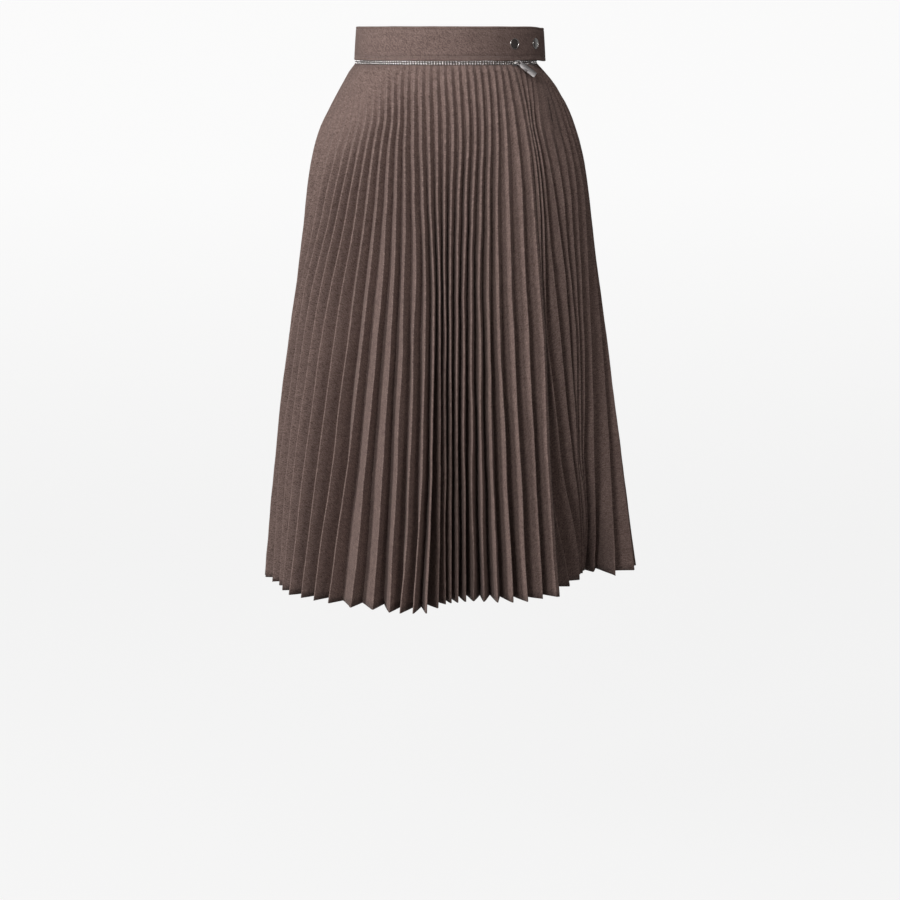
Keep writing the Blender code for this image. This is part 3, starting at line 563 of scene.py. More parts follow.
def pleated_sheet(name, folds, first_number, edge_first, seed):
    """The middle sheet of one panel, with its flat cut as the UV map in metres."""
    random = np.random.RandomState(seed)
    drops = np.linspace(0.0, SKIRT_DROP, CLOTH_ROWS)
    grown = smooth_step(*WANDER_GROWS, drops)[:, None]
    out_wander = slow_waves(random, PLEATS_PER_PANEL, drops, OUT_WAVES) * grown * RIDGE_WANDERS_OUT
    side_wander = slow_waves(random, PLEATS_PER_PANEL, drops, ASIDE_WAVES) * grown
    side_wander = side_wander * RIDGE_WANDERS_ASIDE
    bulges = slow_waves(random, 2 * PLEATS_PER_PANEL, drops, BULGE_WAVES)
    bulges = bulges * SIDE_BULGE_VARIES + SIDE_BULGE
    hem_drop = random.normal(0.0, HEM_UNEVEN, 2 * PLEATS_PER_PANEL + 1)
    rows, edges = [], []
    for level, drop in enumerate(drops):
        wander = np.stack([out_wander[level], side_wander[level]], axis=-1)
        lines, outs = fold_lines(folds, first_number, edge_first, drop, wander)
        share = drop / SKIRT_DROP
        sharper = min(1.0, share * FOLD_SHARPENS_BY)
        radius = FOLD_RADIUS_SEAM + (FOLD_RADIUS_HEM - FOLD_RADIUS_SEAM) * sharper
        line, edge = rounded_line(lines, outs, radius, bulges[level])
        fold_of = np.linspace(0.0, 2 * PLEATS_PER_PANEL, len(line))
        uneven = np.interp(fold_of, np.arange(2 * PLEATS_PER_PANEL + 1), hem_drop) * share**3
        height = SEAM_Z - drop * (1 - HEM_TILT * line[:, 0]) - uneven
        rows.append(np.column_stack([line, height]))
        edges.append(edge)
    grid = np.array(rows)
    row_count, columns = grid.shape[:2]

    hem_line = grid[-1]
    steps = np.linalg.norm(np.diff(hem_line[:, :2], axis=0), axis=1)
    around = np.concatenate([[0.0], np.cumsum(steps)])
    bearing = around / around[-1] * math.pi
    cut_radius = CUT_INNER + drops
    flat_x = cut_radius[:, None] * np.cos(bearing)
    flat_y = cut_radius[:, None] * np.sin(bearing)

    index = np.arange(row_count * columns).reshape(row_count, columns)
    mesh = bpy.data.meshes.new(name)
    mesh.from_pydata(grid.reshape(-1, 3), [], quads_between(index[:-1], index[1:]))
    set_flat_cut(mesh, np.stack([flat_x, flat_y], axis=-1))
    # Mask for the painted highlight: 1 on each ridge's nose.
    ridge = mesh.attributes.new("pressed_edge", "FLOAT", "POINT")
    ridge.data.foreach_set("value", np.array(edges).ravel())
    mesh.shade_smooth()
    return show(name, mesh)


front_panel = pleated_sheet(
    "front_panel_cloth", FRONT_FOLDS, FRONT_PLEAT_AT_CENTRE, False, FRONT_SEED
)
back_panel = pleated_sheet("back_panel_cloth", BACK_FOLDS, BACK_PLEAT_AT_CENTRE, True, BACK_SEED)


def calc(tree, operation, first, second=0.0):
    """One step of arithmetic."""
    return add_node(tree, "ShaderNodeMath", {0: first, 1: second}, operation=operation).outputs[0]


def join_xyz(tree, x, y, z=0.0):
    """A vector from its three parts."""
    return add_node(tree, "ShaderNodeCombineXYZ", {0: x, 1: y, 2: z}).outputs[0]


def noise(tree, vector, scale, detail=1.0):
    """A soft random value of about 0 to 1."""
    inputs = {"Vector": vector, "Scale": scale, "Detail": detail}
    return add_node(tree, "ShaderNodeTexNoise", inputs).outputs["Fac"]


def blend_value(tree, share, low, high):
    """Mix two values."""
    inputs = {0: share, 2: low, 3: high}
    return add_node(tree, "ShaderNodeMix", inputs, data_type="FLOAT").outputs[0]


def blend_colour(tree, share, low, high, kind="MIX"):
    """Mix two colours."""
    inputs = {0: share, 6: low, 7: high}
    return add_node(tree, "ShaderNodeMix", inputs, data_type="RGBA", blend_type=kind).outputs[2]


def new_group(name, kind, inputs, outputs):
    """An empty node group with named sockets, and its two end nodes."""
    group = bpy.data.node_groups.new(name, kind)
    for label, socket, value in inputs:
        made = group.interface.new_socket(label, in_out="INPUT", socket_type="NodeSocket" + socket)
        if value is not None:
            made.default_value = value
    for label, socket in outputs:
        group.interface.new_socket(label, in_out="OUTPUT", socket_type="NodeSocket" + socket)
    return group, group.nodes.new("NodeGroupInput"), group.nodes.new("NodeGroupOutput")


YARN_PITCH = 0.00055
TWILL_REPEAT = 4
WARP_UP_SHARE = 0.4
YARN_STREAK = 0.055
YARN_APART = 7.31
YARN_WEIGHT = 0.18
WALE_SCALE = (0.24, 0.06)
WALE_WEIGHT = 0.22
FLECK_SCALE = 0.62
SPECKLE_SCALE = 0.33
FIBRE_WEIGHT = 0.27
CLOUD_SCALE = 0.035
CLOUD_WEIGHT = 0.06
# Share of the colour taken off as painted shade between the yarns.
YARN_PAINTED_SHADE = 0.25
TONE_RANGE = (0.375, 0.625)
WOOL_ROUGHNESS = 0.95
LIGHT_FIBRE_SHINE = 0.14
WOOL_LIGHT = (0.285, 0.203, 0.183)
WOOL_DARK = (0.066, 0.042, 0.036)
# Colour and share of the painted highlight along the pleats' ridges.
RIDGE_HIGHLIGHT_COLOUR = (0.42, 0.33, 0.30, 1.0)
RIDGE_HIGHLIGHT_SHARE = 0.10
WOOL_SPECULAR = 0.2
WOOL_SHEEN = (0.12, 0.5)
SHEEN_TINT = (0.75, 0.66, 0.62, 1.0)
YARN_BUMP = (0.5, 0.0001)


def make_melange_twill():
    """Two-and-two twill of melange yarn: colour with painted shade between the yarns, roughness and
    relief on flat cloth in metres.
    """
    inputs = [
        ("Cloth", "Vector", None),
        ("Yarn Pitch", "Float", YARN_PITCH),
        ("Light Fibre", "Color", (*WOOL_LIGHT, 1.0)),
        ("Dark Fibre", "Color", (*WOOL_DARK, 1.0)),
    ]
    outputs = [("Color", "Color"), ("Roughness", "Float"), ("Height", "Float")]
    group, start, end = new_group("melange_twill", "ShaderNodeTree", inputs, outputs)
    cloth = start.outputs["Cloth"]
    per_metre = calc(group, "DIVIDE", 1.0, start.outputs["Yarn Pitch"])
    scaling = {0: cloth, "Scale": per_metre}
    yarns = add_node(group, "ShaderNodeVectorMath", scaling, operation="SCALE").outputs[0]
    parts = add_node(group, "ShaderNodeSeparateXYZ", {0: yarns})
    across, along = parts.outputs[0], parts.outputs[1]
    warp, weft = calc(group, "FLOOR", across), calc(group, "FLOOR", along)
    diagonal = calc(group, "MULTIPLY", calc(group, "ADD", warp, weft), 1 / TWILL_REPEAT)
    step = calc(group, "FRACT", diagonal)
    warp_up = calc(group, "LESS_THAN", step, WARP_UP_SHARE)

    def roundness(place):
        """Height across one yarn, 1 on its middle and 0 at its sides."""
        doubled = calc(group, "MULTIPLY", calc(group, "FRACT", place), 2.0)
        side = calc(group, "SUBTRACT", doubled, 1.0)
        return calc(group, "SUBTRACT", 1.0, calc(group, "MULTIPLY", side, side))

    height = blend_value(group, warp_up, roundness(along), roundness(across))

    warp_place = join_xyz(group, calc(group, "MULTIPLY", warp, YARN_APART), along)
    weft_place = join_xyz(group, across, calc(group, "MULTIPLY", weft, YARN_APART), 9.0)
    warp_tone = noise(group, warp_place, YARN_STREAK, 2.0)
    weft_tone = noise(group, weft_place, YARN_STREAK, 2.0)
    yarn_tone = blend_value(group, warp_up, weft_tone, warp_tone)
    fleck = noise(group, yarns, FLECK_SCALE)
    speckle = noise(group, yarns, SPECKLE_SCALE)
    wale = join_xyz(
        group,
        calc(group, "MULTIPLY", calc(group, "ADD", across, along), WALE_SCALE[0]),
        calc(group, "MULTIPLY", calc(group, "SUBTRACT", across, along), WALE_SCALE[1]),
        5.0,
    )
    wale_tone = noise(group, wale, 1.0, 1.0)
    cloud = noise(group, yarns, CLOUD_SCALE, 2.0)
    tone = calc(group, "MULTIPLY", yarn_tone, YARN_WEIGHT)
    for part, weight in (
        (fleck, FIBRE_WEIGHT),
        (speckle, FIBRE_WEIGHT),
        (wale_tone, WALE_WEIGHT),
        (cloud, CLOUD_WEIGHT),
    ):
        tone = add_node(
            group, "ShaderNodeMath", {0: part, 1: weight, 2: tone}, operation="MULTIPLY_ADD"
        ).outputs[0]
    spread = add_node(
        group, "ShaderNodeMapRange", {0: tone, 1: TONE_RANGE[0], 2: TONE_RANGE[1], 3: 0.0, 4: 1.0}
    ).outputs[0]
    # Painted shade: the colour is darkened where the yarns' relief is low, between them.
    raised = calc(group, "MULTIPLY", height, YARN_PAINTED_SHADE)
    shaded = calc(group, "ADD", raised, 1.0 - YARN_PAINTED_SHADE)
    fibres = start.outputs["Dark Fibre"], start.outputs["Light Fibre"]
    colour = blend_colour(group, spread, *fibres)
    grey = add_node(group, "ShaderNodeCombineColor", {0: shaded, 1: shaded, 2: shaded}).outputs[0]
    colour = blend_colour(group, 1.0, colour, grey, "MULTIPLY")
    shine = calc(group, "MULTIPLY", spread, LIGHT_FIBRE_SHINE)
    rough = calc(group, "SUBTRACT", WOOL_ROUGHNESS, shine)
    group.links.new(colour, end.inputs["Color"])
    group.links.new(rough, end.inputs["Roughness"])
    group.links.new(height, end.inputs["Height"])
    return group


melange_twill = make_melange_twill()


def make_wool(name, uv_name, light, dark, highlight_share):
    """Brown melange wool with a painted highlight: each fold's ridge is mixed a little lighter."""
    material, tree, shader = new_material(name)
    cut = add_node(tree, "ShaderNodeUVMap", uv_map=uv_name).outputs["UV"]
    twill = add_node(tree, "ShaderNodeGroup", node_tree=melange_twill)
    tree.links.new(cut, twill.inputs["Cloth"])
    twill.inputs["Light Fibre"].default_value = (*light, 1.0)
    twill.inputs["Dark Fibre"].default_value = (*dark, 1.0)
    # Painted highlight: the colour is mixed towards a lighter brown on each ridge's nose, where
    # light catches the folds.
    pressed = add_node(tree, "ShaderNodeAttribute", attribute_name="pressed_edge").outputs["Fac"]
    share = calc(tree, "MULTIPLY", pressed, highlight_share)
    colour = blend_colour(tree, share, twill.outputs["Color"], RIDGE_HIGHLIGHT_COLOUR)
    relief = {"Strength": YARN_BUMP[0], "Distance": YARN_BUMP[1]}
    bump = add_node(tree, "ShaderNodeBump", {**relief, "Height": twill.outputs["Height"]})
    tree.links.new(colour, shader.inputs["Base Color"])
    tree.links.new(twill.outputs["Roughness"], shader.inputs["Roughness"])
    tree.links.new(bump.outputs["Normal"], shader.inputs["Normal"])
    shader.inputs["Specular IOR Level"].default_value = WOOL_SPECULAR
    shader.inputs["Sheen Weight"].default_value = WOOL_SHEEN[0]
    shader.inputs["Sheen Roughness"].default_value = WOOL_SHEEN[1]
    shader.inputs["Sheen Tint"].default_value = SHEEN_TINT
    return material


GEOMETRY_OUT = [("Geometry", "Geometry")]


def scaled(tree, vector, size):
    """A vector times a number."""
    inputs = {0: vector, "Scale": size}
    return add_node(tree, "ShaderNodeVectorMath", inputs, operation="SCALE").outputs[0]


def finish_group(group, geometry, material, end):
    """End a geometry tree with real meshes of one material."""
    real = add_node(group, "GeometryNodeRealizeInstances", {0: geometry})
    inputs = {"Geometry": real.outputs[0], "Material": material}
    done = add_node(group, "GeometryNodeSetMaterial", inputs)
    group.links.new(done.outputs[0], end.inputs[0])


def make_cloth_hand():
    """Slow unevenness of hung cloth, put on before the cloth gets its thickness."""
    inputs = [
        ("Geometry", "Geometry", None),
        ("Wave Height", "Float", WAVE_HEIGHT),
        ("Waves Per Metre", "Float", WAVES_PER_METRE),
        ("Seed", "Float", 0.0),
        ("Material", "Material", None),
    ]
    group, start, end = new_group("cloth_hand", "GeometryNodeTree", inputs, GEOMETRY_OUT)
    place = add_node(group, "GeometryNodeInputPosition").outputs[0]
    wave_inputs = {
        "Vector": place,
        "Scale": start.outputs["Waves Per Metre"],
        "W": start.outputs["Seed"],
        "Detail": 1.0,
    }
    waves = add_node(group, "ShaderNodeTexNoise", wave_inputs, noise_dimensions="4D")
    centring = {0: waves.outputs["Color"], 1: (0.5, 0.5, 0.5)}
    centred = add_node(group, "ShaderNodeVectorMath", centring, operation="SUBTRACT").outputs[0]
    shift = scaled(group, centred, start.outputs["Wave Height"])
    moving = {"Geometry": start.outputs[0], "Offset": shift}
    moved = add_node(group, "GeometryNodeSetPosition", moving)
    finish_group(group, moved.outputs[0], start.outputs["Material"], end)
    return group


cloth_hand = make_cloth_hand()


def run_nodes(obj, group, settings):
    """Put a node tree on an object with its named inputs set."""
    modifier = obj.modifiers.new(group.name, "NODES")
    modifier.node_group = group
    for item in group.interface.items_tree:
        if item.in_out == "INPUT" and item.name in settings:
            modifier[item.identifier] = settings[item.name]
    return modifier


def settle(obj):
    """Turn an object and its modifiers into one plain mesh."""
    graph = bpy.context.evaluated_depsgraph_get()
    mesh = bpy.data.meshes.new_from_object(
        obj.evaluated_get(graph), preserve_all_data_layers=True, depsgraph=graph
    )
    obj.modifiers.clear()
    obj.data = mesh
    mesh.name = obj.name


wool = make_wool("brown_melange_wool", "flat_cut", WOOL_LIGHT, WOOL_DARK, RIDGE_HIGHLIGHT_SHARE)
for panel, node, seed in (
    (front_panel, "pleated_front_panel", FRONT_WAVE_SEED),
    (back_panel, "pleated_back_panel", BACK_WAVE_SEED),
):
    hand = {"Wave Height": WAVE_HEIGHT, "Waves Per Metre": WAVES_PER_METRE}
    run_nodes(panel, cloth_hand, {**hand, "Seed": seed, "Material": wool})
    thickness = panel.modifiers.new("thickness", "SOLIDIFY")
    thickness.thickness = CLOTH_THICKNESS
    thickness.offset = 0.0
    thickness.use_even_offset = True
    settle(panel)
    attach(panel, "skirt")
    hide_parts(node)

# ==== Waistband ===============================================================================
# A strip of the same wool on a stiff interlining, 42 mm high, with its edges turned in and sewn
# down by a row of stitches along each. Its outer end laps over the inner end on the wearer's left.
BAND_HEIGHT = 0.042
BAND_THICKNESS = 0.003
BAND_TOP_HALF = (0.1185, 0.0925)
BAND_BOTTOM_HALF = (0.1215, 0.0945)
BAND_START = 30.0
BAND_OVERLAP_END = 99.0
BAND_RISE = 60.0
BAND_END_LIFT = 0.0042
BAND_END_LIFT_SPAN = (60.0, 96.0)
BAND_END_SAG = 0.0016
BAND_END_SAG_SPAN = (64.0, 84.0)
BAND_COLUMNS = 340
BAND_EDGE = 0.0011
END_ROUND = 0.0012
TOP_STITCH_FROM_EDGE = 0.0033
BOTTOM_STITCHES_FROM_EDGE = (0.0038, 0.0056)
END_STITCH_FROM_EDGE = 0.0045
STITCH_DENT = 0.00042
STITCH_DENT_WIDTH = 0.0009
STITCH_DENT_SHAPE = 0.7
END_PINCH = 0.75
INNER_FACE_APART = 0.06
BAND_LIGHT = (0.280, 0.201, 0.182)
BAND_DARK = (0.076, 0.050, 0.044)
BAND_WAVE_HEIGHT = 0.0009
BAND_WAVES_PER_METRE = 34.0
BAND_WAVE_SEED = 5.0
STITCH_LENGTH = 0.0021
STITCH_PITCH = 0.0027
THREAD_RADIUS = 0.00021
THREAD_SIDES = 6
THREAD_DARK = (0.12, 0.083, 0.074, 1.0)
THREAD_LIGHT = (0.34, 0.26, 0.235, 1.0)
THREAD_GRAIN = 900.0
THREAD_BUMP = (0.5, 0.00005)
THREAD_ROUGHNESS = 0.62
THREAD_SHEEN = 0.2
STITCH_WOBBLE = 0.05
STITCH_SEED = 4
STITCH_END_ANGLE = 2.0
STITCH_SINK_SHARE = 0.6
STITCH_PATH_POINTS = 360
END_STITCH_POINTS = 12

# One row for each section of a stitch: its place as a share of the length, its thickness as a
# share of the thread's, and its lift in thread radii.
Station = namedtuple("Station", "along thick lift")
STITCH_STATIONS = (
    Station(-0.5, 0.15, -1.6),
    Station(-0.42, 0.8, -0.2),
    Station(-0.2, 1.0, 0.55),
    Station(0.2, 1.0, 0.55),
    Station(0.42, 0.8, -0.2),
    Station(0.5, 0.15, -1.6),
)


def band_sizes(height):
    """Half width and half depth of the band's outer face at a height."""
    share = (BAND_HEIGHT / 2 - height) / BAND_HEIGHT
    return np.array(BAND_TOP_HALF) * (1 - share) + np.array(BAND_BOTTOM_HALF) * share


def band_tuck(angle):
    """How far the face lies inside its ring: the inner end tucks under, the outer stands off."""
    tucked = 1 - smooth_step(BAND_OVERLAP_END, BAND_OVERLAP_END + BAND_RISE, angle)
    stands_off = BAND_END_LIFT * smooth_step(*BAND_END_LIFT_SPAN, angle - 360.0)
    return (BAND_THICKNESS + SEAT_GAP) * tucked + overlap_hollow(angle) - stands_off


def band_sag(angle):
    """How far the band's outer end hangs down."""
    return BAND_END_SAG * smooth_step(*BAND_END_SAG_SPAN, angle - 360.0)


def band_face(angle, height, inset=0.0):
    """Points on the band's outer face, and the way out there."""
    size = band_sizes(height)
    out = ellipse_outward(angle, *size)
    face = ellipse_point(angle, *size) - out * (band_tuck(angle) + inset)[:, None]
    points = np.column_stack([face, height - band_sag(angle)])
    tilt = (BAND_BOTTOM_HALF[1] - BAND_TOP_HALF[1]) / BAND_HEIGHT
    outward = unit(np.column_stack([out, np.full(len(angle), tilt)]))
    return points, outward


def band_profile():
    """Section as pairs of height and inset: rounded edges and a dent at each stitch row."""
    half = BAND_HEIGHT / 2
    corner = np.radians(np.linspace(0.0, 90.0, 5))
    rows = {from_edge - half for from_edge in BOTTOM_STITCHES_FROM_EDGE}
    rows.add(half - TOP_STITCH_FROM_EDGE)
    heights = {half - BAND_EDGE, BAND_EDGE - half, 0.0, half / 2, -half / 2}
    for row in rows:
        heights |= {row + step * STITCH_DENT_WIDTH for step in (-1.0, -0.5, 0.0, 0.5, 1.0)}
    face = []
    for height in sorted(heights, reverse=True):
        dents = [max(0.0, 1 - abs(height - row) / STITCH_DENT_WIDTH) for row in rows]
        face.append((height, STITCH_DENT * max(dents) ** STITCH_DENT_SHAPE))
    top_out = [
        (half - BAND_EDGE * (1 - math.sin(t)), BAND_EDGE * (1 - math.cos(t)))
        for t in corner[:0:-1]
    ]
    bottom_out = [(-z, inset) for z, inset in top_out[::-1]]
    outer = top_out + face + bottom_out
    inner = [(z, BAND_THICKNESS - inset) for z, inset in bottom_out[::-1]]
    inner += [(z, BAND_THICKNESS) for z in (-half / 2, 0.0, half / 2)]
    inner += [(z, BAND_THICKNESS - inset) for z, inset in top_out[::-1]]
    return outer + inner


def closed_strip(name, grid):
    """A mesh round a strip whose section is closed, with a face at each end."""
    levels, columns = grid.shape[:2]
    index = np.arange(levels * columns).reshape(levels, columns)
    faces = quads_between(index, np.roll(index, -1, axis=0))
    faces += [index[::-1, 0].tolist(), index[:, -1].tolist()]
    mesh = bpy.data.meshes.new(name)
    mesh.from_pydata(grid.reshape(-1, 3), [], faces)
    return mesh


band_angle = np.linspace(BAND_START, BAND_OVERLAP_END + 360.0, BAND_COLUMNS)
close_to_end = np.array([0.0, 0.15, 0.45, 1.0]) * math.degrees(END_ROUND / SEAM_HALF[0])
band_angle = np.concatenate(
    [BAND_START + close_to_end, band_angle[1:-1], band_angle[-1] - close_to_end[::-1]]
)
from_end = np.minimum(band_angle - band_angle[0], band_angle[-1] - band_angle)
end_distance = np.radians(from_end) * SEAM_HALF[0]
end_share = end_distance / END_ROUND
pinch = 1 - np.sqrt(np.clip(end_share * (2 - end_share), 0.0, 1.0))
pinch[end_distance > END_ROUND] = 0.0
band_rows = []
for height, inset in band_profile():
    toward_middle = inset + (BAND_THICKNESS / 2 - inset) * pinch * END_PINCH
    points, outward = band_face(band_angle, height, toward_middle)
    band_rows.append(points)
band_mesh = closed_strip("waistband_cloth", np.array(band_rows))
band_around = np.radians(band_angle) * math.sqrt(SEAM_HALF[0] * SEAM_HALF[1])
band_up = np.array(
    [
        height - (0.0 if inset < BAND_THICKNESS / 2 else INNER_FACE_APART)
        for height, inset in band_profile()
    ]
)
set_flat_cut(band_mesh, np.stack(np.meshgrid(band_around, band_up), axis=-1))
band_mesh.shade_smooth()
waistband = show("waistband_cloth", band_mesh)
band_wool = make_wool("waistband_wool_face", "flat_cut", BAND_LIGHT, BAND_DARK, 0.0)
band_hand = {"Wave Height": BAND_WAVE_HEIGHT, "Waves Per Metre": BAND_WAVES_PER_METRE}
run_nodes(waistband, cloth_hand, {**band_hand, "Seed": BAND_WAVE_SEED, "Material": band_wool})
settle(waistband)
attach(waistband, "skirt")
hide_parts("waistband")


def make_row_along_path():
    """Copies of one small piece along a path, facing out by the path's own outward direction."""
    inputs = [
        ("Geometry", "Geometry", None),
        ("Pitch", "Float", STITCH_PITCH),
        ("Piece", "Object", None),
        ("Wobble", "Float", 0.0),
        ("Seed", "Int", 0),
        ("Material", "Material", None),
    ]
    group, start, end = new_group("row_along_path", "GeometryNodeTree", inputs, GEOMETRY_OUT)
    given = start.outputs
    path = add_node(group, "GeometryNodeMeshToCurve", {"Mesh": given["Geometry"]})
    spacing = {"Curve": path.outputs[0], "Length": given["Pitch"]}
    spaced = add_node(group, "GeometryNodeResampleCurve", spacing, mode="LENGTH")
    tangent = {"Vector": add_node(group, "GeometryNodeInputTangent").outputs[0]}
    along = add_node(group, "FunctionNodeAlignRotationToVector", tangent, axis="X")
    out = add_node(
        group, "GeometryNodeInputNamedAttribute", {"Name": "outward"}, data_type="FLOAT_VECTOR"
    )
    turning = {"Rotation": along.outputs[0], "Vector": out.outputs[0]}
    facing = add_node(
        group, "FunctionNodeAlignRotationToVector", turning, axis="Z", pivot_axis="X"
    )
    least = scaled(group, join_xyz(group, -1.0, -1.0, -1.0), given["Wobble"])
    most = scaled(group, join_xyz(group, 1.0, 1.0, 1.0), given["Wobble"])
    limits = {0: least, 1: most, "Seed": given["Seed"]}
    shake = add_node(group, "FunctionNodeRandomValue", limits, data_type="FLOAT_VECTOR")
    turns = {0: facing.outputs[0], 1: shake.outputs[0]}
    shaken = add_node(group, "FunctionNodeRotateRotation", turns, rotation_space="LOCAL")
    piece = add_node(group, "GeometryNodeObjectInfo", {"Object": given["Piece"]})
    copying = {
        "Points": spaced.outputs[0],
        "Instance": piece.outputs["Geometry"],
        "Rotation": shaken.outputs[0],
    }
    copies = add_node(group, "GeometryNodeInstanceOnPoints", copying)
    finish_group(group, copies.outputs[0], given["Material"], end)
    return group


row_along_path = make_row_along_path()


def repeat_along(name, paths, piece, pitch, material, wobble=0.0, seed=0):
    """Repeat a small mesh along each path, given as its points and outward directions."""
    mesh = bpy.data.meshes.new(name)
    points = np.concatenate([path[0] for path in paths])
    outward = np.concatenate([path[1] for path in paths])
    edges, first = [], 0
    for path in paths:
        edges += [(first + i, first + i + 1) for i in range(len(path[0]) - 1)]
        first += len(path[0])
    mesh.from_pydata(points, edges, [])
    facing = mesh.attributes.new("outward", "FLOAT_VECTOR", "POINT")
    facing.data.foreach_set("vector", outward.ravel())
    row = show(name, mesh)
    settings = {"Pitch": pitch, "Piece": piece, "Wobble": wobble, "Seed": seed}
    run_nodes(row, row_along_path, {**settings, "Material": material})
    settle(row)
    bpy.data.objects.remove(piece)
    return row


def make_stitch():
    """One stitch: a short run of twisted thread whose two ends go down into the cloth."""
    stitch = bmesh.new()
    rings = []
    for station in STITCH_STATIONS:
        ring = []
        for corner in range(THREAD_SIDES):
            turn = math.tau * corner / THREAD_SIDES
            y = math.cos(turn) * station.thick * THREAD_RADIUS
            z = (math.sin(turn) * station.thick + station.lift) * THREAD_RADIUS
            ring.append(stitch.verts.new((station.along * STITCH_LENGTH, y, z)))
        rings.append(ring)
    for ring, after in zip(rings[:-1], rings[1:]):
        for i in range(THREAD_SIDES):
            stitch.faces.new((ring[i], after[i], after[i - 1], ring[i - 1]))
    stitch.faces.new(rings[0])
    stitch.faces.new(rings[-1][::-1])
    bmesh.ops.recalc_face_normals(stitch, faces=stitch.faces)
    for face in stitch.faces:
        face.smooth = True
    mesh = bpy.data.meshes.new("stitch")
    stitch.to_mesh(mesh)
    stitch.free()
    return bpy.data.objects.new("stitch", mesh)


def make_thread():
    """Matt brown sewing thread with a slanting ply."""
    material, tree, shader = new_material("brown_sewing_thread")
    place = add_node(tree, "ShaderNodeTexCoord").outputs["Object"]
    tone = noise(tree, place, THREAD_GRAIN, 2.0)
    colour = blend_colour(tree, tone, THREAD_DARK, THREAD_LIGHT)
    ply_inputs = {"Vector": place, "Scale": THREAD_GRAIN}
    ply = add_node(tree, "ShaderNodeTexWave", ply_inputs, bands_direction="DIAGONAL")
    relief = {"Strength": THREAD_BUMP[0], "Distance": THREAD_BUMP[1]}
    bump = add_node(tree, "ShaderNodeBump", {**relief, "Height": ply.outputs["Fac"]})
    tree.links.new(colour, shader.inputs["Base Color"])
    tree.links.new(bump.outputs["Normal"], shader.inputs["Normal"])
    shader.inputs["Roughness"].default_value = THREAD_ROUGHNESS
    shader.inputs["Sheen Weight"].default_value = THREAD_SHEEN
    return material


band_end = BAND_OVERLAP_END + 360.0
stitch_angle = np.linspace(
    BAND_START + STITCH_END_ANGLE, band_end - STITCH_END_ANGLE, STITCH_PATH_POINTS
)
stitch_heights = [BAND_HEIGHT / 2 - TOP_STITCH_FROM_EDGE]
stitch_heights += [from_edge - BAND_HEIGHT / 2 for from_edge in BOTTOM_STITCHES_FROM_EDGE]
stitch_sink = STITCH_DENT * STITCH_SINK_SHARE
stitch_paths = [band_face(stitch_angle, height, stitch_sink) for height in stitch_heights]
end_angle = band_end - math.degrees(END_STITCH_FROM_EDGE / SEAM_HALF[0])
end_heights = np.linspace(stitch_heights[0], stitch_heights[1], END_STITCH_POINTS)
end_row = [band_face(np.array([end_angle]), height, 0.0) for height in end_heights]
end_points, end_outward = zip(*end_row)
stitch_paths.append((np.concatenate(end_points), np.concatenate(end_outward)))
stitches = repeat_along(
    "waistband_stitches",
    stitch_paths,
    make_stitch(),
    STITCH_PITCH,
    make_thread(),
    STITCH_WOBBLE,
    STITCH_SEED,
)
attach(stitches, "skirt")

# ==== Zip =====================================================================================
# A metal zip between waistband and pleats. Each tooth is pressed over the edge of its tape and
# locks between two of the other row. The chain is closed round to the slider and open past it.
ZIP_HEIGHT = 0.0047
ZIP_THICKNESS = 0.0022
ZIP_ROW_HEIGHT = 0.0019
ZIP_FAR_END = 97.0
ZIP_END_GAP = 1.5
SLIDER_ANGLE = 44.2
SLIDER_LENGTH = 0.0115
ZIP_TOP_Z = -BAND_HEIGHT / 2 - SEAT_GAP
ZIP_BOTTOM_Z = ZIP_TOP_Z - ZIP_HEIGHT
TOOTH_PITCH = 0.0034
TOOTH_WIDTH = 0.00155
TOOTH_LENGTH = 0.00265
TOOTH_ROUND = 0.0003
TAPE_THICKNESS = 0.0005
TAPE_SHOWS = 0.0019
TAPE_TUCK = 0.0002
NOSE_THICKNESS_SHARE = 0.62
NOSE_WIDTH_SHARE = 0.86
CLOSED_PATH_POINTS = 400
OPEN_PATH_POINTS = 80
UNDER_SLIDER_SHARE = 0.6
TAPE_POINTS_PER_DEGREE = 0.8
TEETH_COLOUR = (0.70, 0.68, 0.68)
TEETH_TARNISH = (0.30, 0.27, 0.25)
TEETH_ROUGHNESS = 0.20
TEETH_SCRATCHES = 900.0
METAL_BUMP = (0.4, 0.00002)
MARK_SPREAD = 0.12
STAIN_SCALE = 180.0
STAIN_RANGE = (0.45, 0.75)
STAIN_MOST = 0.6
TAPE_DARK = (0.020, 0.013, 0.012, 1.0)
TAPE_LIGHT = (0.055, 0.038, 0.033, 1.0)
TAPE_RIBS = 700.0
TAPE_GRAIN = 1500.0
TAPE_BUMP = (0.6, 0.0001)
TAPE_ROUGHNESS = 0.85

zip_middle_half = tuple(half - ZIP_THICKNESS / 2 for half in SEAM_HALF)


def zip_line(start, end, height, count):
    """A level path round the waist in the middle of the zip's thickness, and the way out there."""
    angle = np.linspace(start, end, count)
    out = ellipse_outward(angle, *zip_middle_half)
    middle = ellipse_point(angle, *zip_middle_half) - out * overlap_hollow(angle)[:, None]
    points = np.column_stack([middle, np.full(count, height)])
    outward = np.column_stack([out, np.zeros(count)])
    return points, outward


def make_tooth(name, length, points_up):
    """One tooth: a bar across the tape's edge whose narrower nose locks into the other row."""
    tooth = bmesh.new()
    size = (TOOTH_WIDTH, length, ZIP_THICKNESS)
    bmesh.ops.create_cube(tooth, size=1.0, matrix=Matrix.Diagonal((*size, 1.0)))
    nose_side = 1.0 if points_up else -1.0
    for corner in tooth.verts:
        if corner.co.y * nose_side > 0.0:
            corner.co.z *= NOSE_THICKNESS_SHARE
            corner.co.x *= NOSE_WIDTH_SHARE
    bmesh.ops.bevel(
        tooth,
        geom=list(tooth.edges),
        offset=TOOTH_ROUND,
        offset_type="OFFSET",
        segments=1,
        affect="EDGES",
    )
    for face in tooth.faces:
        face.smooth = True
    mesh = bpy.data.meshes.new(name)
    tooth.to_mesh(mesh)
    tooth.free()
    return bpy.data.objects.new(name, mesh)


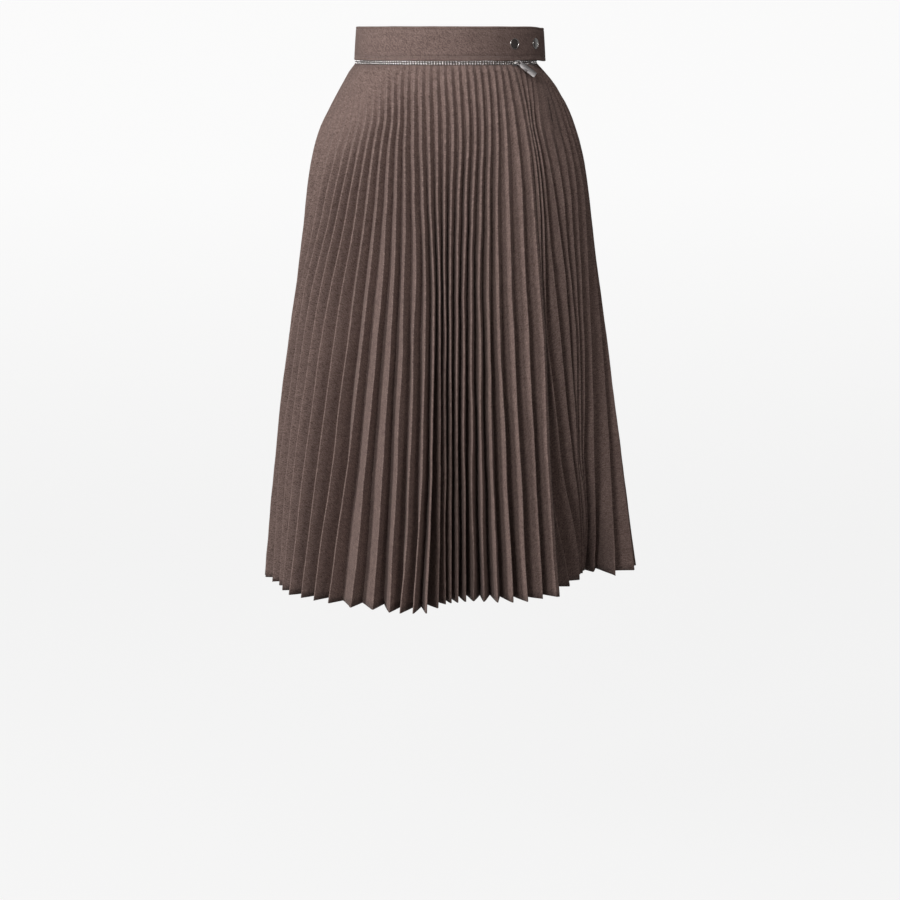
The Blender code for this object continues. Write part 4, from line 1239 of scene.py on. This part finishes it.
def make_metal(name, colour, dark, roughness, scratch_scale):
    """Bright plated metal with fine rubbing marks and a little tarnish."""
    material, tree, shader = new_material(name)
    wear = add_node(tree, "ShaderNodeGroup", node_tree=rubbed_metal)
    wear.inputs["Clean"].default_value = (*colour, 1.0)
    wear.inputs["Tarnish"].default_value = (*dark, 1.0)
    wear.inputs["Base Roughness"].default_value = roughness
    wear.inputs["Scale"].default_value = scratch_scale
    relief = {"Strength": METAL_BUMP[0], "Distance": METAL_BUMP[1]}
    bump = add_node(tree, "ShaderNodeBump", {**relief, "Height": wear.outputs["Height"]})
    tree.links.new(wear.outputs["Color"], shader.inputs["Base Color"])
    tree.links.new(wear.outputs["Roughness"], shader.inputs["Roughness"])
    tree.links.new(bump.outputs["Normal"], shader.inputs["Normal"])
    shader.inputs["Metallic"].default_value = 1.0
    return material


def make_rubbed_metal():
    """Colour, roughness and relief of metal that hands and cloth have rubbed."""
    inputs = [
        ("Clean", "Color", (*TEETH_COLOUR, 1.0)),
        ("Tarnish", "Color", (*TEETH_TARNISH, 1.0)),
        ("Base Roughness", "Float", TEETH_ROUGHNESS),
        ("Scale", "Float", TEETH_SCRATCHES),
    ]
    outputs = [("Color", "Color"), ("Roughness", "Float"), ("Height", "Float")]
    group, start, end = new_group("rubbed_metal", "ShaderNodeTree", inputs, outputs)
    place = add_node(group, "ShaderNodeTexCoord").outputs["Object"]
    stretching = {"Vector": place, "Scale": (1.0, 1.0, 7.0)}
    stretched = add_node(group, "ShaderNodeMapping", stretching).outputs[0]
    marks = noise(group, stretched, start.outputs["Scale"], 3.0)
    stain = noise(group, place, STAIN_SCALE, 2.0)
    limits = {0: stain, 1: STAIN_RANGE[0], 2: STAIN_RANGE[1], 3: 0.0, 4: STAIN_MOST}
    share = add_node(group, "ShaderNodeMapRange", limits).outputs[0]
    colour = blend_colour(group, share, start.outputs["Clean"], start.outputs["Tarnish"])
    uneven = calc(group, "MULTIPLY", marks, MARK_SPREAD)
    rough = calc(group, "ADD", start.outputs["Base Roughness"], uneven)
    group.links.new(colour, end.inputs["Color"])
    group.links.new(rough, end.inputs["Roughness"])
    group.links.new(marks, end.inputs["Height"])
    return group


rubbed_metal = make_rubbed_metal()
teeth_metal = make_metal(
    "worn_zip_teeth", TEETH_COLOUR, TEETH_TARNISH, TEETH_ROUGHNESS, TEETH_SCRATCHES
)

def make_tape_cloth():
    """Closely ribbed brown zip tape."""
    material, tree, shader = new_material("brown_zip_tape")
    place = add_node(tree, "ShaderNodeTexCoord").outputs["Object"]
    rib_inputs = {"Vector": place, "Scale": TAPE_RIBS}
    ribs = add_node(tree, "ShaderNodeTexWave", rib_inputs, bands_direction="Z")
    colour = blend_colour(tree, noise(tree, place, TAPE_GRAIN, 2.0), TAPE_DARK, TAPE_LIGHT)
    relief = {"Strength": TAPE_BUMP[0], "Distance": TAPE_BUMP[1]}
    bump = add_node(tree, "ShaderNodeBump", {**relief, "Height": ribs.outputs["Fac"]})
    tree.links.new(colour, shader.inputs["Base Color"])
    tree.links.new(bump.outputs["Normal"], shader.inputs["Normal"])
    shader.inputs["Roughness"].default_value = TAPE_ROUGHNESS
    return material


tape_cloth = make_tape_cloth()


def make_tape(name, start, end, top, bottom):
    """The narrow strip of tape that shows between the teeth and the cloth they are sewn to."""
    count = max(8, int(abs(end - start) * TAPE_POINTS_PER_DEGREE))
    rows = []
    for height, offset in ((top, 0.5), (bottom, 0.5), (bottom, -0.5), (top, -0.5)):
        middle, outward = zip_line(start, end, height, count)
        rows.append(middle + outward * offset * TAPE_THICKNESS)
    mesh = closed_strip(name, np.array(rows))
    mesh.materials.append(tape_cloth)
    return show(name, mesh)


slider_turn = math.radians(SLIDER_ANGLE)
reach_at_slider = math.hypot(
    SEAM_HALF[0] * math.cos(slider_turn), SEAM_HALF[1] * math.sin(slider_turn)
)
half_slider = math.degrees((SLIDER_LENGTH / 2 + SEAT_GAP) / reach_at_slider)
closed_from = ZIP_FAR_END + ZIP_END_GAP
closed_to = 360.0 + SLIDER_ANGLE - half_slider * UNDER_SLIDER_SHARE
half_pitch = math.degrees(TOOTH_PITCH / 2 / SEAM_HALF[0])
upper_z = ZIP_TOP_Z - TOOTH_LENGTH / 2
lower_z = ZIP_BOTTOM_Z + TOOTH_LENGTH / 2
closed_rows = []
for name, height, shift, points_up in (
    ("upper", upper_z, 0.0, False),
    ("lower", lower_z, half_pitch, True),
):
    path = zip_line(closed_from + shift, closed_to, height, CLOSED_PATH_POINTS)
    tooth = make_tooth("tooth_" + name, TOOTH_LENGTH, points_up)
    row = repeat_along("closed_teeth_" + name, [path], tooth, TOOTH_PITCH, teeth_metal)
    closed_rows.append(row)
open_rows = {}
open_start, open_end = SLIDER_ANGLE + half_slider * UNDER_SLIDER_SHARE, ZIP_FAR_END
for name, height, points_up in (
    ("upper", ZIP_TOP_Z - ZIP_ROW_HEIGHT / 2, False),
    ("lower", ZIP_BOTTOM_Z + ZIP_ROW_HEIGHT / 2, True),
):
    path = zip_line(open_start, open_end, height, OPEN_PATH_POINTS)
    tooth = make_tooth("tooth_open_" + name, ZIP_ROW_HEIGHT, points_up)
    open_rows[name] = repeat_along("zip_row_" + name, [path], tooth, TOOTH_PITCH, teeth_metal)


def join_pieces(first, others):
    """Join meshes into the first one, each with its own material."""
    with bpy.context.temp_override(active_object=first, selected_editable_objects=[first, *others]):
        bpy.ops.object.join()
    return first


tape_top = (ZIP_TOP_Z + TAPE_TUCK, ZIP_TOP_Z - TAPE_SHOWS)
tape_bottom = (ZIP_BOTTOM_Z + TAPE_SHOWS, ZIP_BOTTOM_Z - TAPE_TUCK)
zip_closed = join_pieces(
    closed_rows[0],
    [
        closed_rows[1],
        make_tape("closed_tape_upper", closed_from, closed_to, *tape_top),
        make_tape("closed_tape_lower", closed_from, closed_to, *tape_bottom),
    ],
)
zip_closed.name = "zip_chain_closed"
join_pieces(open_rows["upper"], [make_tape("open_tape_upper", open_start, open_end, *tape_top)])
join_pieces(open_rows["lower"], [make_tape("open_tape_lower", open_start, open_end, *tape_bottom)])
for piece, node in (
    (zip_closed, "zip_chain"),
    (open_rows["upper"], "zip_upper_row"),
    (open_rows["lower"], "zip_lower_row"),
):
    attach(piece, "skirt")
    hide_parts(node)

# ==== Slider ==================================================================================
# A die-cast, nickel-plated slider. Its front plate has a raised rim and two flanges that hold the
# rows, a wedge joins it to the plate behind, and a wire bail on its face carries the pull.
PLATE_HEIGHT = 0.0066
PLATE_NARROW_END = 0.0054
PLATE_THICKNESS = 0.0013
PLATE_STANDOFF = 0.00145
PLATE_CORNER = 0.0009
PLATE_RIM = 0.0009
PLATE_RECESS = 0.0007
PLATE_EDGE = 0.00022
FLANGE_THICKNESS = 0.0008
FLANGE_DEPTH = 0.0016
WEDGE_SIZE = (0.0062, 0.0012)
BACK_PLATE_THICKNESS = 0.0009
BAIL_RADIUS = 0.0027
BAIL_WIRE = 0.00075
BAIL_SINK = 0.0002
BAIL_PAST_HALF = 0.18
BAIL_POINTS = 26
RECESS_CORNER_SHARE = 0.6
FLANGE_LENGTH_SHARE = 0.52
FLANGE_FORWARD_SHARE = 0.2
FLANGE_INSET = 0.0001
WEDGE_FORWARD_SHARE = 0.12
BACK_PLATE_SHARE = 0.94
NICKEL_COLOUR = (0.78, 0.77, 0.76)
NICKEL_TARNISH = (0.52, 0.50, 0.48)
NICKEL_ROUGHNESS = 0.14
NICKEL_SCRATCHES = 700.0

slider_middle_z = (ZIP_TOP_Z + ZIP_BOTTOM_Z) / 2


def waist_frame(angle, half, height):
    """Frame on the waist ring: X along it to the wearer's left, -Y outwards and Z up."""
    point, out = ellipse_point(angle, *half), ellipse_outward(angle, *half)
    axes = Matrix(((-out[1], -out[0], 0.0), (out[0], -out[1], 0.0), (0.0, 0.0, 1.0)))
    return Matrix.Translation((point[0], point[1], height)) @ axes.to_4x4()


def rounded_outline(corners, radius, steps=4):
    """An outline of x and z whose corners are arcs."""
    points = []
    for i, corner in enumerate(corners):
        corner = Vector(corner)
        before = (Vector(corners[i - 1]) - corner).normalized()
        after = (Vector(corners[(i + 1) % len(corners)]) - corner).normalized()
        half_angle = before.angle(after) / 2
        from_corner = radius / math.tan(half_angle)
        centre = corner + (before + after).normalized() * radius / math.sin(half_angle)
        first, last = corner + before * from_corner - centre, corner + after * from_corner - centre
        for step in range(steps + 1):
            points.append(centre + first.slerp(last, step / steps).normalized() * radius)
    return points


def flat_plate(outline, front, thickness, hole=()):
    """A plate of even thickness behind y = front, with a hole where one is given."""
    plate = bmesh.new()
    edges = []
    for loop in (outline, hole):
        corners = [plate.verts.new((x, front, z)) for x, z in loop]
        edges += [plate.edges.new((corners[i - 1], corners[i])) for i in range(len(corners))]
    bmesh.ops.triangle_fill(plate, edges=edges, use_beauty=True)
    raised = bmesh.ops.extrude_face_region(plate, geom=list(plate.faces))["geom"]
    corners = [item for item in raised if isinstance(item, bmesh.types.BMVert)]
    bmesh.ops.translate(plate, verts=corners, vec=(0.0, thickness, 0.0))
    return plate


def add_box(maker, size, centre):
    """Add a box of a given size to a bmesh."""
    place = Matrix.Translation(centre) @ Matrix.Diagonal((*size, 1.0))
    return bmesh.ops.create_cube(maker, size=1.0, matrix=place)["verts"]


def new_object(name, maker, frame):
    """An object whose place is in its mesh."""
    bmesh.ops.recalc_face_normals(maker, faces=maker.faces)
    bmesh.ops.transform(maker, matrix=frame, verts=maker.verts)
    mesh = bpy.data.meshes.new(name)
    maker.to_mesh(mesh)
    maker.free()
    return show(name, mesh)


def join_volumes(obj, helpers, operation="UNION"):
    """Unite an object with others, or cut them out of it."""
    for helper in helpers:
        change = obj.modifiers.new(helper.name, "BOOLEAN")
        change.operation = operation
        change.object = helper
    settle(obj)
    for helper in helpers:
        bpy.data.objects.remove(helper)


def round_and_shade(obj, width, segments=2):
    """Round a metal piece's edges and shade it smooth between them."""
    bevel = obj.modifiers.new("rounded", "BEVEL")
    bevel.width = width
    bevel.segments = segments
    bevel.limit_method = "ANGLE"
    bevel.angle_limit = math.radians(40.0)
    settle(obj)
    obj.data.shade_smooth()
    obj.data.set_sharp_from_angle(angle=math.radians(50.0))


def wire_along(path, radius, sides=12):
    """A round wire along a path in the local XY plane, with closed ends."""
    wire = bmesh.new()
    points = [Vector(point) for point in path]
    rings = []
    for i, point in enumerate(points):
        ahead = points[min(i + 1, len(points) - 1)] - points[max(i - 1, 0)]
        side = ahead.cross(Vector((0.0, 0.0, 1.0))).normalized()
        ring = []
        for k in range(sides):
            turn = math.tau * k / sides
            across = side * math.cos(turn) + Vector((0, 0, math.sin(turn)))
            ring.append(wire.verts.new(point + across * radius))
        rings.append(ring)
    for ring, after in zip(rings[:-1], rings[1:]):
        for k in range(sides):
            wire.faces.new((ring[k - 1], ring[k], after[k], after[k - 1]))
    wire.faces.new(rings[0])
    wire.faces.new(rings[-1][::-1])
    return wire


slider_frame = waist_frame(SLIDER_ANGLE, SEAM_HALF, slider_middle_z)
half_length, half_tall, half_narrow = SLIDER_LENGTH / 2, PLATE_HEIGHT / 2, PLATE_NARROW_END / 2
slider_corners = [
    (-half_length, -half_narrow),
    (0.0, -half_tall),
    (half_length, -half_tall),
    (half_length, half_tall),
    (0.0, half_tall),
    (-half_length, half_narrow),
]
plate_front = -PLATE_STANDOFF - PLATE_THICKNESS
face = flat_plate(rounded_outline(slider_corners, PLATE_CORNER), plate_front, PLATE_THICKNESS)
slider = new_object("slider_body", face, slider_frame)
shrink_x = 1 - PLATE_RIM / half_length
shrink_z = 1 - PLATE_RIM / half_tall
recess_corners = [(x * shrink_x, z * shrink_z) for x, z in slider_corners]
recess_outline = rounded_outline(recess_corners, PLATE_CORNER * RECESS_CORNER_SHARE)
recess = flat_plate(recess_outline, plate_front - PLATE_RECESS, 2 * PLATE_RECESS)
join_volumes(slider, [new_object("slider_recess", recess, slider_frame)], "DIFFERENCE")
flanges = []
for side in (-1, 1):
    flange = bmesh.new()
    flange_length = SLIDER_LENGTH * FLANGE_LENGTH_SHARE
    size = (flange_length, FLANGE_DEPTH + PLATE_THICKNESS / 2, FLANGE_THICKNESS)
    middle_y = -PLATE_STANDOFF - PLATE_THICKNESS / 2 + size[1] / 2
    middle_z = side * (half_tall - FLANGE_THICKNESS / 2 - FLANGE_INSET)
    add_box(flange, size, (SLIDER_LENGTH * FLANGE_FORWARD_SHARE, middle_y, middle_z))
    flanges.append(new_object("slider_flange", flange, slider_frame))
wedge = bmesh.new()
wedge_depth = PLATE_STANDOFF + PLATE_THICKNESS / 2 + ZIP_THICKNESS + BACK_PLATE_THICKNESS / 2
wedge_y = -PLATE_STANDOFF - PLATE_THICKNESS / 2 + wedge_depth / 2
wedge_size = (WEDGE_SIZE[0], wedge_depth, WEDGE_SIZE[1])
add_box(wedge, wedge_size, (SLIDER_LENGTH * WEDGE_FORWARD_SHARE, wedge_y, 0.0))
back_corners = [(x * BACK_PLATE_SHARE, z * BACK_PLATE_SHARE) for x, z in slider_corners]
back_outline = rounded_outline(back_corners, PLATE_CORNER)
back_plate = flat_plate(back_outline, ZIP_THICKNESS + SEAT_GAP, BACK_PLATE_THICKNESS)
helpers = flanges + [
    new_object("slider_wedge", wedge, slider_frame),
    new_object("slider_back_plate", back_plate, slider_frame),
]
join_volumes(slider, helpers)
round_and_shade(slider, PLATE_EDGE)
arch_turn = np.linspace(-BAIL_PAST_HALF, math.pi + BAIL_PAST_HALF, BAIL_POINTS)
arch_y = plate_front + BAIL_SINK
arch = [
    (BAIL_RADIUS * math.cos(t), arch_y - BAIL_RADIUS * math.sin(t), 0.0) for t in arch_turn
]
bail = new_object("slider_bail", wire_along(arch, BAIL_WIRE), slider_frame)
bail.data.shade_smooth()
join_pieces(slider, [bail])
slider.name = "zip_slider_body"
nickel = make_metal(
    "polished_nickel_plate", NICKEL_COLOUR, NICKEL_TARNISH, NICKEL_ROUGHNESS, NICKEL_SCRATCHES
)
slider.data.materials.clear()
slider.data.materials.append(nickel)
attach(slider, "skirt")
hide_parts("zip_slider")

# ==== Pull ====================================================================================
# A stamped tab in satin nickel that hangs from the bail by an eye at its upper end. One long edge
# is ground to a slope, and a narrow notch with a round end is cut into the other.
PIN_HEIGHT = 0.0013
CLOTH_FLARE = 23.0
PULL_LIFT = 13.0
PULL_HANG = 46.0
PULL_RING_RADIUS = 0.0026
PULL_THICKNESS = 0.0012
PULL_WIDTH = 0.0082
PULL_FAR_END = 0.0262
PULL_CORNER = 0.0014
EYE_WIDTH = 0.0058
EYE_SHOULDER = (0.0034, 0.0054)
EYE_BAR = 0.0009
EYE_FROM = -0.0025
EYE_OPENING = (0.0036, 0.0039)
NOTCH_FROM_END = 0.0120
NOTCH_DEPTH = 0.0028
NOTCH_WIDTH = 0.0005
NOTCH_HOLE_RADIUS = 0.00045
SLOPE_WIDTH = 0.0015
SLOPE_DEPTH = 0.0003
PULL_EDGE = 0.00022
OPENING_CORNER_SHARE = 0.45
HOLE_SEGMENTS = 20
SATIN_COLOUR = (0.62, 0.62, 0.64)
SATIN_TARNISH = (0.48, 0.47, 0.48)
SATIN_ROUGHNESS = 0.38
SATIN_SCRATCHES = 1400.0

pin_depth = PLATE_STANDOFF + PLATE_THICKNESS + PIN_HEIGHT
hinge = (
    slider_frame
    @ Matrix.Translation((0.0, -pin_depth, 0.0))
    @ Matrix.Rotation(math.radians(-CLOTH_FLARE), 4, "X")
    @ Matrix.Rotation(math.radians(-PULL_LIFT), 4, "Z")
)
pull_frame = (
    hinge
    @ Matrix.Translation((PULL_RING_RADIUS, 0.0, 0.0))
    @ Matrix.Rotation(math.radians(PULL_HANG), 4, "Y")
)
half_eye, half_pull = EYE_WIDTH / 2, PULL_WIDTH / 2
tab_outline = rounded_outline(
    [
        (EYE_FROM, half_eye),
        (EYE_FROM, -half_eye),
        (EYE_SHOULDER[0], -half_eye),
        (EYE_SHOULDER[1], -half_pull),
        (PULL_FAR_END, -half_pull),
        (PULL_FAR_END, half_pull),
        (EYE_SHOULDER[1], half_pull),
        (EYE_SHOULDER[0], half_eye),
    ],
    PULL_CORNER,
)
opening_from = EYE_FROM + EYE_BAR
opening_corners = [
    (opening_from, -EYE_OPENING[1] / 2),
    (opening_from + EYE_OPENING[0], -EYE_OPENING[1] / 2),
    (opening_from + EYE_OPENING[0], EYE_OPENING[1] / 2),
    (opening_from, EYE_OPENING[1] / 2),
]
opening = rounded_outline(opening_corners, PULL_CORNER * OPENING_CORNER_SHARE)
tab = flat_plate(tab_outline, -PULL_THICKNESS / 2, PULL_THICKNESS, opening)
pull = new_object("pull_tab", tab, Matrix.Identity(4))
notch_at = PULL_FAR_END - NOTCH_FROM_END
notch = bmesh.new()
add_box(notch, (NOTCH_WIDTH, 3 * PULL_THICKNESS, 2 * NOTCH_DEPTH), (notch_at, 0.0, -half_pull))
hole = bmesh.new()
hole_place = Matrix.Translation((notch_at, 0.0, NOTCH_DEPTH - half_pull))
bmesh.ops.create_cone(
    hole,
    cap_ends=True,
    segments=HOLE_SEGMENTS,
    radius1=NOTCH_HOLE_RADIUS,
    radius2=NOTCH_HOLE_RADIUS,
    depth=3 * PULL_THICKNESS,
    matrix=hole_place @ Matrix.Rotation(math.pi / 2, 4, "X"),
)
cutters = [
    new_object("notch_cutter", notch, Matrix.Identity(4)),
    new_object("hole_cutter", hole, Matrix.Identity(4)),
]
join_volumes(pull, cutters, "DIFFERENCE")
sloped = bmesh.new()
sloped.from_mesh(pull.data)
slope_from = half_pull - SLOPE_WIDTH
bmesh.ops.bisect_plane(
    sloped,
    geom=[*sloped.verts, *sloped.edges, *sloped.faces],
    plane_co=(0.0, 0.0, slope_from),
    plane_no=(0.0, 0.0, 1.0),
)
for corner in sloped.verts:
    past = (corner.co.z - slope_from) / SLOPE_WIDTH
    if past > 0.0 and corner.co.y < 0.0 and corner.co.x > EYE_SHOULDER[0]:
        corner.co.y += SLOPE_DEPTH * past
sloped.to_mesh(pull.data)
sloped.free()
round_and_shade(pull, PULL_EDGE)
pull.data.transform(pull_frame)
pull.name = "zip_pull_tab"
pull_metal = make_metal(
    "satin_nickel_tab", SATIN_COLOUR, SATIN_TARNISH, SATIN_ROUGHNESS, SATIN_SCRATCHES
)
pull.data.materials.clear()
pull.data.materials.append(pull_metal)
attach(pull, "pull")
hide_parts("zip_pull")

# ==== Snap caps ===============================================================================
# Two round snap caps of polished nickel that close the overlap. Each is drawn from sheet into a
# shallow dome whose edge is rolled down to the cloth, and its shank is set through the band.
SNAP_ANGLES = {"snap_cap_front": 43.6, "snap_cap_side": 66.0}
SNAP_RADIUS = 0.0068
SNAP_HEIGHT = 0.0013
SNAP_DOME = 0.00022
SNAP_RIM = 0.00035
SNAP_GROOVE = 0.00018
SNAP_SEGMENTS = 72
SNAP_FOOT_STEP = 0.0001
SNAP_FOOT_INSET = 0.0006
SNAP_MERGE = 0.000005
SEAT_SPAN = (-1.0, 0.0, 1.0)


def band_frame(angle):
    """Frame on the band's outer layer at half its height: X along the band and Z out of it."""
    turns = angle + 360.0 + np.array(SEAT_SPAN)
    before, point, after = band_face(turns, 0.0)[0]
    top = band_face(turns, BAND_HEIGHT / 4)[0][1]
    bottom = band_face(turns, -BAND_HEIGHT / 4)[0][1]
    along = unit(after - before)
    out = unit(np.cross(along, top - bottom))
    axes = Matrix((along, np.cross(out, along), out)).transposed()
    return Matrix.Translation(point) @ axes.to_4x4()


def snap_profile():
    """Half section of a cap as radius and height, from its middle to its foot."""
    inner = SNAP_RADIUS - 2 * SNAP_RIM
    crown = SNAP_HEIGHT - SNAP_GROOVE
    shares = np.linspace(0.0, 1.0, 9)
    points = [(inner * t, crown + SNAP_DOME * (1 - t * t) - SNAP_DOME) for t in shares]
    rolled = np.radians(np.linspace(170.0, -10.0, 9))
    middle = SNAP_RADIUS - SNAP_RIM
    rim_height = SNAP_HEIGHT - SNAP_RIM
    points += [
        (middle + SNAP_RIM * math.cos(t), rim_height + SNAP_RIM * math.sin(t)) for t in rolled
    ]
    points += [
        (SNAP_RADIUS - SNAP_FOOT_STEP, SEAT_GAP),
        (SNAP_RADIUS - SNAP_FOOT_INSET, SNAP_FOOT_STEP),
        (0.0, SNAP_FOOT_STEP),
    ]
    return points


for node, angle in SNAP_ANGLES.items():
    cap = bmesh.new()
    corners = [cap.verts.new((radius, 0.0, height)) for radius, height in snap_profile()]
    edges = [cap.edges.new(pair) for pair in zip(corners[:-1], corners[1:])]
    bmesh.ops.spin(
        cap,
        geom=[*corners, *edges],
        axis=(0.0, 0.0, 1.0),
        cent=(0.0, 0.0, 0.0),
        steps=SNAP_SEGMENTS,
        angle=math.tau,
    )
    bmesh.ops.remove_doubles(cap, verts=cap.verts, dist=SNAP_MERGE)
    snap = new_object(node + "_dome", cap, band_frame(angle))
    snap.data.materials.append(nickel)
    snap.data.shade_smooth()
    snap.data.set_sharp_from_angle(angle=math.radians(45.0))
    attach(snap, "skirt")
    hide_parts(node)
